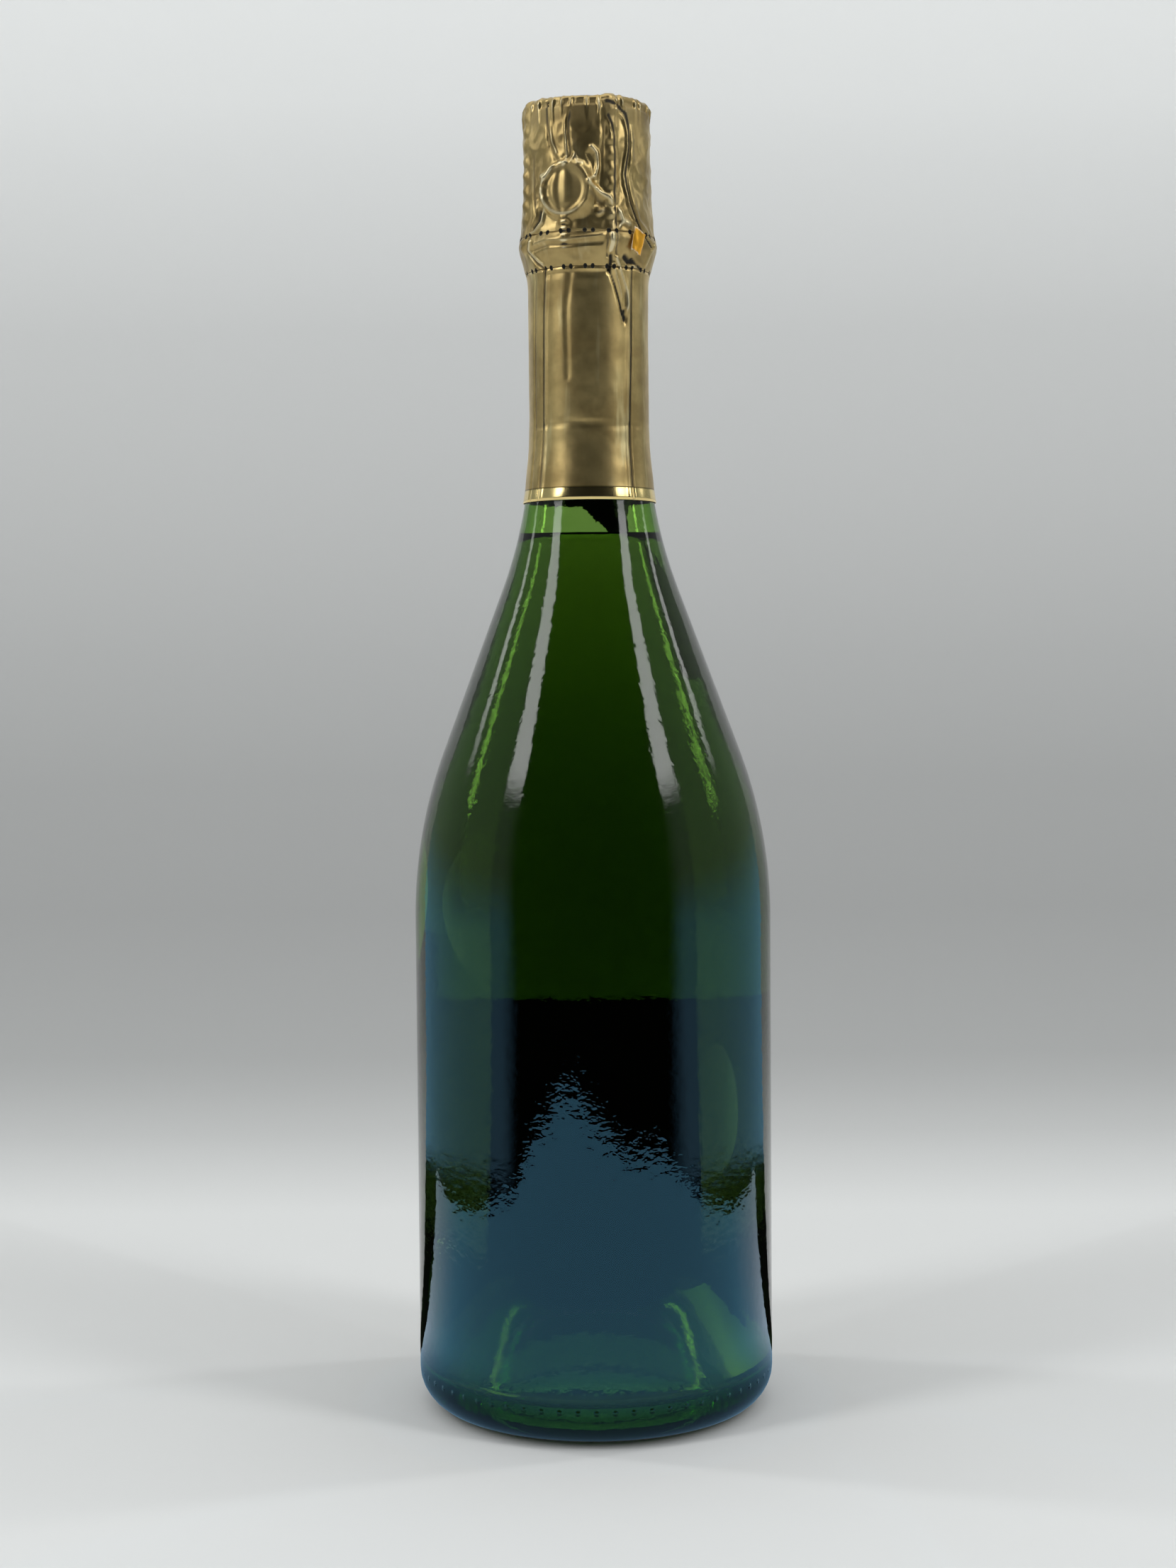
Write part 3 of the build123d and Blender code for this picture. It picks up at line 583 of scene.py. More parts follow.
# strength of all creases' relief and of their painted shade and highlights (tone), and the radius that they
# are laid out at
creaseScale = {"relief": 1.45, "tone": 1.15, "radius": 16.0}
ringFold = {
    # the foil over the loop: flat beside the wire, level and crown inside it, and the folds drawn across it;
    # its painted highlight along the wire and painted light and shade on the stem's turns (tones)
    "width": 0.5, "level": 0.86, "crown": 0.34, "folds": 8.6, "foldDepth": 0.1, "sway": 0.9, "swayFolds": 3.0,
    "edgeTone": 1.0, "edge": 0.34, "toneAcross": (-2.0, 3.5), "tones": (1.0, 0.15),
    "stemTone": 1.1, "stemEdge": 0.7, "stemTurn": 4.1, "stemEnds": (285.2, 292.4),
}
# pleats, with tone as the painted light on each pleat and painted shade between them
pleatLook = {
    "count": 30, "height": 0.72, "width": 2.2, "reach": 8.5, "jitter": 4.6, "tone": 0.8, "power": 1.2,
    "scatter": 2.4, "lengths": (0.7, 0.3), "lengthTurn": 1.7,
    "start": 8.0, "ease": 4.0, "sink": 0.35, "toneGain": 1.6, "toneSink": 0.45,
    "crown": 1.2, "crownShare": 0.25, "toneTop": 0.9,
}
crumpleLook = {
    # depth below the band, more on the band, more on the hood; size of each crumple in mm and its seed
    "calm": 0.05, "band": 0.16, "hood": 0.13, "mean": 0.66,
    "coarse": (9.0, 3), "fine": (3.1, 11), "fineShare": 0.42,
    "tall": (4.2, 21), "tallDepth": 0.07, "tallStretch": 0.35,
    "bandStart": 280.0, "bandEase": 3.0, "hoodEase": 2.0,
}
topLook = {"height": 0.5, "legFlat": 0.5, "legSlope": 1.0, "legInner": 10.4, "ringSlope": 0.9}
tiny = 1e-6


def lineDistance(across, rise, points, radius):
    # least distance in mm from each place to a line through (azimuth, height) points
    nearest = np.full(across.shape, np.inf)
    stops = [(radians(azimuth) * radius, height) for azimuth, height in points]
    for (ax, ay), (bx, by) in zip(stops, stops[1:]):
        dx, dy = bx - ax, by - ay
        share = np.clip(((across - ax) * dx + (rise - ay) * dy) / (dx * dx + dy * dy), 0, 1)
        nearest = np.minimum(nearest, np.hypot(across - ax - share * dx, rise - ay - share * dy))
    return nearest


def turnFrom(azimuth, middle):
    # azimuth less another, in degrees between -180 and 180
    return (azimuth - middle + 180) % 360 - 180


def crumple(x, y, z, size, seed):
    # ridged noise between 0 and 1 at each place, for creased foil
    places = zip(x / size, y / size, z / size + seed)
    return np.array([1 - abs(noise.noise(Vector(place))) * 2 for place in places])


def slope(distance, flat, width):
    # 1 up to a flat half width, then falling off smoothly over a width
    return np.exp(-((np.maximum(distance - flat, 0) / width) ** 2))


def lifted(base, target, weight):
    # the foil raised towards a target where it lies lower
    return base + np.maximum(target - base, 0) * weight


def pressedLegs(azimuth, height, base):
    # radius of the foil in mm where the legs and their eyes press out through it
    look = cageLook
    press = pressLook
    (topRadius, topHeight), (footRadius, footHeight) = look["top"], look["foot"]
    legRadius = np.interp(height, (footHeight, topHeight), (footRadius, topRadius))
    along = (height > footHeight - press["legBelow"]) & (height < press["legTop"])
    swing = np.abs(np.sin(pi * look["halfTurns"] * (topHeight - height) / (topHeight - footHeight)))
    twisted = legRadius + look["legWire"] + press["legRoom"]
    twisted += look["strandOffset"] * swing ** press["twistPower"]
    eyeRadius, eyeHeight = look["eye"]
    out = base.copy()
    for leg in look["legs"]:
        away = np.abs(radians(1) * turnFrom(azimuth, leg)) * base
        weight = slope(away, press["legFlat"], press["legSlope"] - press["legSwing"] * swing)
        out = np.maximum(out, lifted(base, twisted, weight * along))
        eye = np.hypot(away, (height - eyeHeight) * press["eyeSquash"])
        weight = slope(eye, press["eyeFlat"], press["eyeSlope"])
        out = np.maximum(out, lifted(base, eyeRadius + look["eyeRadius"] + press["room"], weight))
    return out


def loopTurn(azimuth):
    # angle from the middle of the loop in radians, kept clear of a right angle
    limit = pressLook["sideTurn"]
    return np.clip(turnFrom(azimuth, cageLook["twist"]), -limit, limit) * radians(1)


def pressedLoop(azimuth, height, base, out):
    # the same for the loop and its twisted stem, which stand in one plane beside the neck
    look = cageLook
    press = pressLook
    fold = ringFold
    turn = loopTurn(azimuth)
    near = np.abs(turn) < press["sideNear"]
    plane = look["stemRadius"] + look["beltWire"] + press["room"]
    lateral = plane * np.tan(turn)
    rise = height - loopCentre()
    reach = np.hypot(lateral, rise)
    ring = reach - look["loopRadius"]
    outside = slope(ring, fold["width"], np.interp(lateral, press["slopeAcross"], press["slopes"]))
    inside = fold["level"] + (1 - fold["level"]) * slope(-ring, press["innerFlat"], press["innerSlope"])
    weight = np.where(ring > 0, outside, inside)
    chord = np.sqrt(np.maximum(look["loopRadius"] ** 2 - rise**2, press["leastChord"]))
    meridian = np.clip(lateral / chord, -press["foldReach"], press["foldReach"])
    fade = np.clip((-ring - press["fadeStart"]) / press["fadeLength"], 0, 1)
    sway = fold["sway"] * np.sin(meridian * fold["swayFolds"] + 1)
    folds = np.sin(meridian * fold["folds"] + sway) * fold["foldDepth"]
    crown = fold["crown"] * (1 - (reach / look["loopRadius"]) ** 2).clip(0)
    loop = lifted(base, plane / np.cos(turn), weight) + (crown + folds) * fade
    out = np.where(near, np.maximum(out, loop), out)
    turns = (height - look["stemBottom"]) / (look["stemTop"] - look["stemBottom"]) * look["stemHalfTurns"]
    target = plane + look["stemOffset"] * np.abs(np.sin(pi * turns)) ** press["twistPower"]
    beside = np.abs(look["stemRadius"] * np.tan(turn))
    low = look["stemBottom"] - press["stemBelow"]
    high = look["stemTop"] + press["stemAbove"]
    stem = lifted(base, target, slope(beside, press["stemFlat"], press["stemSlope"]))
    return np.where((height > low) & (height < high) & near, np.maximum(out, stem), out)


def ringHighlight(azimuth, height):
    # painted highlight along the loop's wire, most on its lit left and lower side, and painted light and
    # shade on the turns of the stem
    look = cageLook
    fold = ringFold
    lateral = look["stemRadius"] * np.tan(loopTurn(azimuth))
    rise = height - loopCentre()
    ring = np.abs(np.hypot(lateral, rise) - look["loopRadius"])
    side = np.interp(lateral + rise * 0.5, fold["toneAcross"], fold["tones"])
    low, high = fold["stemEnds"]
    stem = slope(np.abs(lateral), 0, fold["stemEdge"]) * np.sin(height * fold["stemTurn"])
    stem = stem * ((height > low) & (height < high))
    return fold["edgeTone"] * side * slope(ring, 0, fold["edge"]) + fold["stemTone"] * stem


def creased(azimuth, z):
    # relief in mm and the painted shade and highlight tone of the named creases
    look = creaseScale
    across = np.radians(azimuth) * look["radius"]
    press = np.zeros(len(z))
    tone = np.zeros(len(z))
    for height, width, shade, points in creaseLook.values():
        fall = slope(lineDistance(across, z, points, look["radius"]), 0, width)
        press += height * look["relief"] * fall
        tone += shade * look["tone"] * fall
    return press, tone


def crumpled(x, y, z):
    # uneven relief in mm, deepest on the hood
    look = crumpleLook
    mean = look["mean"]
    hood = np.clip((z - foilLook["upperLine"]) / look["hoodEase"], 0, 1)
    band = np.clip((z - look["bandStart"]) / look["bandEase"], 0, 1)
    depth = look["calm"] + look["band"] * band + look["hood"] * hood
    press = depth * (crumple(x, y, z, *look["coarse"]) - mean)
    press += depth * look["fineShare"] * (crumple(x, y, z, *look["fine"]) - mean)
    tall = crumple(x, y, z * look["tallStretch"], *look["tall"]) - mean
    return press + look["tallDepth"] * hood * tall


def pleated(azimuth, z, top):
    # pleats that hang unevenly from the edge of the top, where they lie, and their painted light on each
    # pleat and painted shade between them
    look = pleatLook
    mean, swing = look["lengths"]
    pleats = np.zeros(len(z))
    for turn in range(look["count"]):
        middle = 360 / look["count"] * turn + look["jitter"] * sin(turn * look["scatter"] + turn * turn)
        tall = look["reach"] * (mean + swing * sin(turn * look["lengthTurn"]))
        hang = np.clip((z - top + tall) / tall, 0, 1) ** look["power"]
        pleats += (1 - np.abs(turnFrom(azimuth, middle)) / look["width"]).clip(0) * hang
    near = np.clip((z - top + look["start"]) / look["ease"], 0, 1)
    near = near * np.clip((top + look["crown"] - z) / look["crown"], look["crownShare"], 1)
    press = (pleats - look["sink"]) * look["height"] * near
    tone = (pleats * look["toneGain"] - look["toneSink"]) * look["tone"] * near * (z < top + look["toneTop"])
    return press, tone


def topRidge(azimuth, reach):
    # the legs and the wire ring pressed up through the flat top
    look = topLook
    legs = np.zeros(len(reach))
    for leg in cageLook["legs"]:
        turn = np.radians(turnFrom(azimuth, leg))
        along = (np.cos(turn) > 0) & (reach > look["legInner"])
        weight = slope(np.abs(np.sin(turn)) * reach, look["legFlat"], look["legSlope"])
        legs = np.maximum(legs, weight * along)
    circle = slope(np.abs(reach - cageLook["ringRadius"]), 0, look["ringSlope"])
    return look["height"] * np.maximum(legs, circle)


def tongueLength(azimuth, z, look):
    # how far the lower edge of the sleeve is drawn down, and how that eases out above it
    beside = turnFrom(azimuth, look["tongue"])
    shape = np.interp(beside, *zip(*look["tongueShape"]))
    for height, pitch in look["tongueWaves"]:
        shape = shape + height * np.sin(beside * pitch)
    ease = np.clip(1 - (z - look["bottom"]) / look["tongueEase"], 0, 1) ** 2
    return shape * (np.abs(beside) < look["tongueHalf"]) * look["tongueDrop"] * ease


def wallAt(height):
    return np.interp(height, *zip(*foilLook["outline"]))


def shapeFoil(data, look):
    # moves a spun shell's points to where the drawn foil lies, and keeps its painted shade and highlights,
    # with a few real holes, torn teeth and worn marks, as foldTone
    flat = np.empty(len(data.vertices) * 3)
    data.vertices.foreach_get("co", flat)
    x, y, z = (flat.reshape(-1, 3) / mm).T
    azimuth = np.degrees(np.arctan2(x, -y))
    reach = np.hypot(x, y)
    top = look["topHeight"] - look["rimRound"]
    rim = look["rimRound"]
    wall = wallAt(z)
    drawn = pressedLoop(azimuth, z, wall, pressedLegs(azimuth, z, wall)) - wall
    press, tone = creased(azimuth, z)
    pleats, pleatLightAndShade = pleated(azimuth, z, top)
    press += crumpled(x, y, z) + pleats
    tone += ringHighlight(azimuth, z) + pleatLightAndShade
    flank = np.clip((reach - wallAt(top) + rim) / rim, 0, 1) * rim
    lean = np.where(z > top, np.arctan2(np.maximum(z - top, 0), np.maximum(flank, tiny)), 0)
    level = np.sin(lean)  # 0 on the side, 1 on the flat top
    out = press + np.where(z > top, topRidge(azimuth, reach) * level + drawn * (1 - level), drawn)
    covered = np.clip(drawn / look["coverEase"], 0, 1)  # the foil never sinks into a wire
    out = np.where((z < top) & (out < drawn), out + (drawn - out) * covered, out)
    moved = reach + out * np.cos(lean)
    low, high = look["corkSpan"]
    moved = np.where((z > low) & (z < high), np.maximum(moved, look["corkReach"]), moved)
    scale = np.where(reach > tiny, moved / np.maximum(reach, tiny), 1)
    lower = tongueLength(azimuth, z, look)
    seat = np.where(lower > 0, np.interp(z - lower, *zip(*look["tongueSeat"])) - moved, 0)
    follow = np.clip((look["bottom"] + look["tongueFollow"] - (z - lower)) / look["tongueFollow"], 0, 1)
    scale += seat * follow / np.maximum(reach, tiny)
    flat = np.stack([x * scale, y * scale, z + out * level - lower], axis=1) * mm
    data.vertices.foreach_set("co", flat.ravel())
    data.attributes.new("foldTone", "FLOAT", "POINT").data.foreach_set("value", tone.clip(-1, 1))
    data.update()


def foilMaterial(look, name, sleeve):
    bench = Bench(name)
    place = bench.place()
    azimuth, reach, height = bench.around()
    cloud = bench.noise(place, look["cloud"], 4.0, 0.6)
    streak = bench.streaks(place, look["streak"], 3.0, 0.6)
    grain = bench.noise(place, look["grain"], 3.0, 0.6)
    spots = bench.noise(place, look["spot"], 2.0, 0.5)
    # painted light: the sleeve's colours are made lighter than the hood's and the band's
    gain = look["sleeveLightGain"] if sleeve else 1.0
    gold, brown, pale = [
        [min(part * gain, look["brightest"]) for part in look[colour]] for colour in ("gold", "brown", "pale")
    ]
    dull = bench.mixed(cloud.above(*look["cloudEnds"]), gold, brown)
    colour = bench.mixed(streak.above(*look["streakEnds"]) * 0.5, dull, pale)
    # perforations: pairs of holes on both tear lines, with a thin line through them
    step = (azimuth - look["holeStart"]) / look["holePitch"]
    beside = abs(step - step.rounded()) * (radians(look["holePitch"]) * look["holeReach"]) - look["holeHalf"]
    holes = 0
    lines = 0
    for level in (look["lowerLine"], look["upperLine"]):
        rise = height - level
        away = (beside * beside + rise * rise * 0.75).root()
        hole = 1 - away.above(look["holeRadius"] * 0.88, look["holeRadius"] * 1.08)
        line = 1 - abs(rise).above(*look["lineEnds"])
        holes = hole.most(holes)
        lines = line.most(lines)
    holes = holes.most(lines * 0.35)
    # painted shade and highlights of the creases, pleats and loop: dark tone turns the foil near black, dull
    # and less metallic in hollows, gaps and under the flap, bright tone pales it on ridges; a few are real
    # holes, torn teeth and a worn strip
    tone = bench.node("Attribute", {"attribute_name": "foldTone"}, out=2)
    dark = (0 - tone).above(*look["darkEnds"])
    colour = bench.mixed(tone.above(*look["wearAndHighlightEnds"]) * 0.85, colour, look["worn"])
    colour = bench.mixed(dark * 0.96, colour, look["hole"])
    rough = look["sleeveRough" if sleeve else "rough"] + cloud * 0.16 + spots * 0.08
    relief = grain * 0.35 + streak * 0.65
    if sleeve:  # its lower rim is smooth and painted lighter for the shine it catches, with a painted shade line along its top
        rise = height - look["bottom"]
        rim = 1 - rise.above(*look["rimEnds"])
        colour = bench.mixed(rim, colour, look["bright"])
        edge = 1 - abs(rise - look["rimLine"]).above(*look["rimLineEnds"])
        colour = bench.mixed(edge * 0.7, colour, look["shade"])
        rough = rough + rim * (look["rimRough"] - rough)
        relief = relief * (1 - rim * 0.8)
    colour = bench.mixed(holes, colour, look["hole"])
    rough = rough + holes * (0.95 - rough)
    rough = rough + dark * (0.7 - rough)
    metal = 1 - holes.most(dark * 0.8) * 0.9
    return bench.opaque(colour, rough, bench.bump(relief, look["grainDepth"] * mm, 0.5), metal)


def thickened(piece, wall, offset):
    shell = piece.modifiers.new("wall", "SOLIDIFY")
    shell.thickness = wall * mm
    shell.offset = offset
    return shell


def makeFoil():
    look = foilLook
    half = look["lineGap"] / 2
    rim = look["rimRound"]
    top = look["topHeight"] - rim
    crown = arcStops((float(wallAt(top)) - rim, top), rim, 0, 90, 8)
    crown.append((look["dishRadius"], look["topHeight"] - look["topDish"] * 0.7))
    crown.append((0.0, look["topHeight"] - look["topDish"]))
    bench = Bench("foilInside")
    inside = bench.mixed(bench.noise(bench.place(), 300.0, 2.0), look["inside"], look["insidePale"])
    inside = bench.surface({"Base Color": inside, "Roughness": 0.8})
    lower, upper = look["lowerLine"], look["upperLine"]
    skins = {
        "hood_skin": ("hood", "foil_hood", upper + half, top, look["spacing"]),
        "tear_band_skin": ("bottle", "foil_tear_band", lower + half, upper - half, look["spacing"]),
        "sleeve_skin": ("bottle", "foil_sleeve", look["bottom"], lower - half, look["sleeveSpacing"]),
    }
    for name, (body, node, low, high, spacing) in skins.items():
        heights = [*np.arange(low, high - 0.01, spacing), high]
        stops = [(float(wallAt(height)), height) for height in heights]
        if name == "hood_skin":
            stops += evenStops(crown, spacing * 1.6)[1:]
        material = foilMaterial(look, name + "_gold", name == "sleeve_skin")
        piece = pieceFrom(spunMesh(stops, look["turnSteps"]), name, body, material, [node])
        shapeFoil(piece.data, look)
        piece.data.materials.append(inside)
        shell = thickened(piece, look["wall"], -1)
        shell.use_even_offset = False
        shell.material_offset = 1


makeFoil()
print("foil made")


# Pull tab: the free end of the tear strip, folded back, amber on its back

tabLook = {
    # corners as azimuth, height and radius: upper left, upper right, lower right, lower left
    "corners": ((40.6, 290.7, 17.5), (50.2, 288.9, 17.75), (43.8, 283.5, 17.8), (36.7, 285.3, 17.5)),
    "columns": 20, "rows": 26, "wall": 0.13, "bow": 0.32, "fold": 0.5, "foldPower": 5,
    "dent": 0.12, "dents": (2, 3, 1), "tear": 0.16, "tears": (7, 9, 4), "tearPower": 6, "tearTurn": 2.0,
    "cutCorner": 0.22, "cutSlope": 4, "flare": 5.0, "flareStart": 0.85,
    "edge": 0.14, "cleanStart": 0.8, "cleanShare": 0.3, "scratchDepth": 0.1,
    "amber": (0.66, 0.34, 0.02), "amberDeep": (0.48, 0.21, 0.012), "torn": (0.92, 0.86, 0.70),
}


def tabMaterial(look):
    bench = Bench("amberFoil")
    place = bench.place()
    cloud = bench.noise(place, 260.0, 3.0)
    scratch = bench.streaks(place, (900, 900, 90), 3.0)
    colour = bench.mixed(cloud, look["amber"], look["amberDeep"])
    edge = bench.node("Attribute", {"attribute_name": "edge"}, out=2)
    colour = bench.mixed(edge * scratch.above(0.3, 0.6), colour, look["torn"])
    normal = bench.bump(scratch * 0.6 + cloud, look["scratchDepth"] * mm, 0.4)
    return bench.opaque(colour, 0.34 + scratch * 0.15, normal, 0.7 - edge * 0.4)


def makeTab():
    look = tabLook
    columns, rows = look["columns"], look["rows"]
    mesh = bmesh.new()
    bmesh.ops.create_grid(mesh, x_segments=columns, y_segments=rows, size=0.5)
    edgeLayer = mesh.verts.layers.float.new("edge")
    upperLeft, upperRight, lowerRight, lowerLeft = [Vector(corner) for corner in look["corners"]]
    for vert in mesh.verts:
        across, up = vert.co.x + 0.5, vert.co.y + 0.5
        upper = upperLeft.lerp(upperRight, across)
        lower = lowerLeft.lerp(lowerRight, across)
        azimuth, height, radius = lower.lerp(upper, up)
        rim = max(abs(across - 0.5), abs(up - 0.5)) * 2
        vert[edgeLayer] = max(0.0, (rim - 1) / look["edge"] + 1)
        if across >= look["cleanStart"]:
            vert[edgeLayer] *= look["cleanShare"]
        spot = Vector((across, up, 1))
        ragged = noise.noise(spot * Vector(look["tears"])) * look["tear"] * rim ** look["tearPower"]
        cut = max(0, 1 - across * look["cutSlope"]) * max(0, 1 - up * look["cutSlope"])
        height += ragged - look["cutCorner"] * cut
        radius += look["bow"] * sin(pi * across) + look["fold"] * across ** look["foldPower"]
        radius += look["dent"] * noise.noise(spot * Vector(look["dents"]))
        azimuth += look["flare"] * max(0, across - look["flareStart"]) ** 2 + ragged * look["tearTurn"]
        angle = radians(azimuth)
        vert.co = Vector((sin(angle) * radius, -cos(angle) * radius, height)) * mm
    bmesh.ops.recalc_face_normals(mesh, faces=mesh.faces)
    if sum(face.normal.dot(face.calc_center_median()) for face in mesh.faces) < 0:
        bmesh.ops.reverse_faces(mesh, faces=mesh.faces)
    piece = pieceFrom(mesh, "pull_tab", "tab", tabMaterial(look), ["tear_tab"])
    thickened(piece, look["wall"], 1)


makeTab()
print("tab made")


# Cork and cap keep their solids and get finishes, the wires are rounded

innerLook = {
    "cork": (0.50, 0.33, 0.17), "corkDark": (0.27, 0.155, 0.075), "corkPale": (0.66, 0.48, 0.28),
    "grain": 680.0, "warp": 0.6, "disc": (0.70, 0.50, 0.30), "pore": (0.22, 0.12, 0.06), "corkDepth": 0.3,
    "plate": (0.62, 0.45, 0.17), "plateEdge": (0.40, 0.27, 0.08), "edgeRadii": (13.6, 14.6),
    "steel": (0.58, 0.57, 0.55), "steelDull": (0.30, 0.29, 0.28), "scratchDepth": 0.04,
    "merge": 0.001, "voxel": 0.12, "easing": 6,
}


def pressedCork(look):
    bench = Bench("pressedCork")
    place = bench.place()
    shift = bench.noise(place, 900.0, 2.0)
    push = (look["warp"] * mm,) * 3
    warped = bench.node("VectorMath", {"operation": "MULTIPLY_ADD"}, {0: shift, 1: push, 2: place})
    grains = {"Vector": warped, "Scale": look["grain"]}
    shades = bench.node("SeparateColor", values={0: bench.node("TexVoronoi", {"feature": "F1"}, grains, 1)})
    gap = 1 - bench.node("TexVoronoi", {"feature": "DISTANCE_TO_EDGE"}, grains).above(0.02, 0.09)
    fine = bench.noise(place, 4000.0, 3.0)
    flecks = bench.noise(place, 1900.0, 3.0).above(0.56, 0.66)
    colour = bench.mixed(shades, look["corkPale"], look["cork"])
    for share in (shades.above(0.72, 0.95), gap * 0.24, flecks * 0.45):
        colour = bench.mixed(share, colour, look["corkDark"])
    normal = bench.bump(fine * 0.4 - gap * 0.35, look["corkDepth"] * mm, 0.6)
    return bench.opaque(colour, 0.86, normal)


def naturalCork(look):
    bench = Bench("naturalCork")
    place = bench.place()
    growth = bench.streaks(place, (90, 1500, 90), 3.0)
    pores = bench.streaks(place, (1400, 420, 1400), 2.0, 0.6).above(0.6, 0.68)
    colour = bench.mixed(growth.above(0.4, 0.6), look["disc"], look["corkPale"])
    colour = bench.mixed(pores * 0.85, colour, look["pore"])
    normal = bench.bump(growth * 0.3 - pores, look["corkDepth"] * mm, 0.6)
    return bench.opaque(colour, 0.82, normal)


def capPlate(look):
    bench = Bench("lacqueredPlate")
    place = bench.place()
    azimuth, reach, height = bench.around()
    scratch = bench.streaks(place, (500, 500, 3000), 4.0, 0.65)
    worn = bench.noise(place, 160.0, 3.0)
    colour = bench.mixed(worn.above(0.5, 0.75) * 0.4, look["plate"], look["plateEdge"])
    colour = bench.mixed(reach.above(*look["edgeRadii"]) * 0.35, colour, look["plateEdge"])
    normal = bench.bump(scratch, look["scratchDepth"] * mm, 0.4)
    return bench.opaque(colour, 0.3 + worn * 0.12, normal, 0.9)


def steelWire(look):
    bench = Bench("galvanisedWire")
    place = bench.place()
    drawn = bench.noise(place, 1300.0, 4.0, 0.65)
    dull = bench.noise(place, 210.0, 3.0)
    colour = bench.mixed(dull.above(0.42, 0.7), look["steel"], look["steelDull"])
    normal = bench.bump(drawn, look["scratchDepth"] * mm, 0.5)
    return bench.opaque(colour, 0.28 + dull * 0.22, normal, 1.0)


def dressSolids(look):
    finishes = {
        "cork_body": pressedCork(look), "cork_disc_lower": naturalCork(look), "cage_cap": capPlate(look),
    }
    finishes["cork_disc_upper"] = finishes["cork_disc_lower"]
    for node, material in finishes.items():
        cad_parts[node].material_slots[0].material = material


def makeWires(look):
    # round wires on the routes of the faceted ones
    material = steelWire(look)
    wires = ["crown_ring", "belt"] + [f"leg_{leg}" for leg in range(1, 5)]
    for wire in wires:
        mesh = bmesh.new()
        mesh.from_mesh(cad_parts["cage_" + wire].data)
        bmesh.ops.remove_doubles(mesh, verts=mesh.verts, dist=look["merge"] * mm)
        piece = pieceFrom(mesh, "wire_" + wire, "cage", material, ["cage_" + wire])
        rounded = piece.modifiers.new("round", "REMESH")
        rounded.mode = "VOXEL"
        rounded.voxel_size = look["voxel"] * mm
        rounded.use_smooth_shade = True
        eased = piece.modifiers.new("ease", "SMOOTH")
        eased.factor = 0.5
        eased.iterations = look["easing"]


dressSolids(innerLook)
makeWires(innerLook)
print("cork, cap and wires dressed")


# Studio

studioLook = {
    "floorFront": -2.6, "floorBack": 0.42, "sweepRadius": 0.5, "wallHeight": 2.4, "halfWidth": 3.0,
    "world": (0.84, 0.85, 0.85), "worldStrength": 0.42, "lampTarget": (0.0, 0.0, 0.2),
    "tint": (1.0, 1.02, 1.015), "grain": 900.0, "grainDepth": 0.1,
    # painted light and shade along the sweep, darker at its curve where less light falls: distance behind the
    # bottle plus height in metres, and its grey
    "paintedSweepGreys": (
        (-0.3, 0.70), (-0.09, 0.69), (0.04, 0.63), (0.2, 0.64), (0.33, 0.48), (0.49, 0.365), (0.7, 0.325),
        (0.86, 0.35), (1.0, 0.41), (1.14, 0.49), (1.3, 0.58), (1.46, 0.78), (1.6, 0.86),
    ),
}
lampLook = {
    # name: azimuth from the camera's side, elevation and distance of its middle, width, height, power
    "leftWindow": (-58.0, 36.0, 1.5, 0.26, 1.2, 7.0),
    "rightWindow": (58.0, 36.0, 1.5, 0.26, 1.2, 7.0),
    "leftStrip": (-106.0, 34.0, 1.3, 0.10, 1.1, 3.0),
    "rightStrip": (106.0, 34.0, 1.3, 0.10, 1.1, 3.0),
    "topPanel": (0.0, 88.0, 1.4, 1.4, 1.4, 6.0),
}
roomLook = {
    # what the gloss and the glass show, in mm and degrees from the bottle's axis and the camera's side
    "radius": 600.0, "height": 1500.0, "halfAngle": 134.0, "inner": 60.0, "floorLift": 0.8, "tableLift": 1.6,
    "dark": (0.006, 0.006, 0.006), "wall": (0.23, 0.25, 0.24), "low": (0.22, 0.50, 0.74),
    "lowEnds": (60.0, 210.0), "sideEnds": (46.0, 60.0), "floorEnds": (290.0, 350.0),
    # windows: azimuth, half width, height where they start and are full, brightness
    "windows": ((58.0, 8.0, 360.0, 500.0, 5.2), (106.0, 3.6, 330.0, 460.0, 3.4)), "windowEdge": 2.0,
    "table": (0.36, 1.05, 1.60), "tableSide": (0.80, 1.05, 1.30), "tableTurn": (84.0, 118.0),
    "tableNear": (0.12, 0.23, 0.34), "tableShadow": (48.0, 100.0), "frontHalf": 72.0,
    "foot": (0.03, 0.04, 0.05), "footRadii": (46.0, 210.0), "puntRadii": (0.5, 30.0),
    "shade": (0.62, 0.62, 0.60), "shadeInner": 17.5, "shadeHeight": 222.0,
    # the table's edge as it shows in the gloss: azimuth and distance from the bottle
    "edge": (
        (122, 52), (118, 297), (99, 258), (75, 268), (54, 324), (41, 376), (19, 371), (4, 420), (-10, 480),
        (-20, 490), (-28, 432), (-37, 401), (-49, 300), (-61, 281), (-83, 258), (-116, 297), (-122, 52),
    ),
}
cameraLook = {
    "distance": 0.588, "height": 0.187, "pitch": 3.1, "roll": -0.45, "swing": 0.095,
    "lens": 54.03, "sensor": 36.0,
}


def sweepMaterial():
    bench = Bench("paleSweep")
    x, y, z = bench.axes()
    paintedSweepGreys = studioLook["paintedSweepGreys"]
    start = paintedSweepGreys[0][0]
    reach = paintedSweepGreys[-1][0] - start
    stops = []
    for along, grey in paintedSweepGreys:
        stops.append(((along - start) / reach, [grey * part for part in studioLook["tint"]]))
    # the sweep's grey is painted light and shade along it, not its own colour
    colour = bench.node("ValToRGB", {"stops": stops}, {0: ((y + z) * mm - start) / reach})
    fine = bench.noise(bench.place(), studioLook["grain"], 2.0)
    return bench.opaque(colour, 0.9, bench.bump(fine, studioLook["grainDepth"] * mm, 0.2))


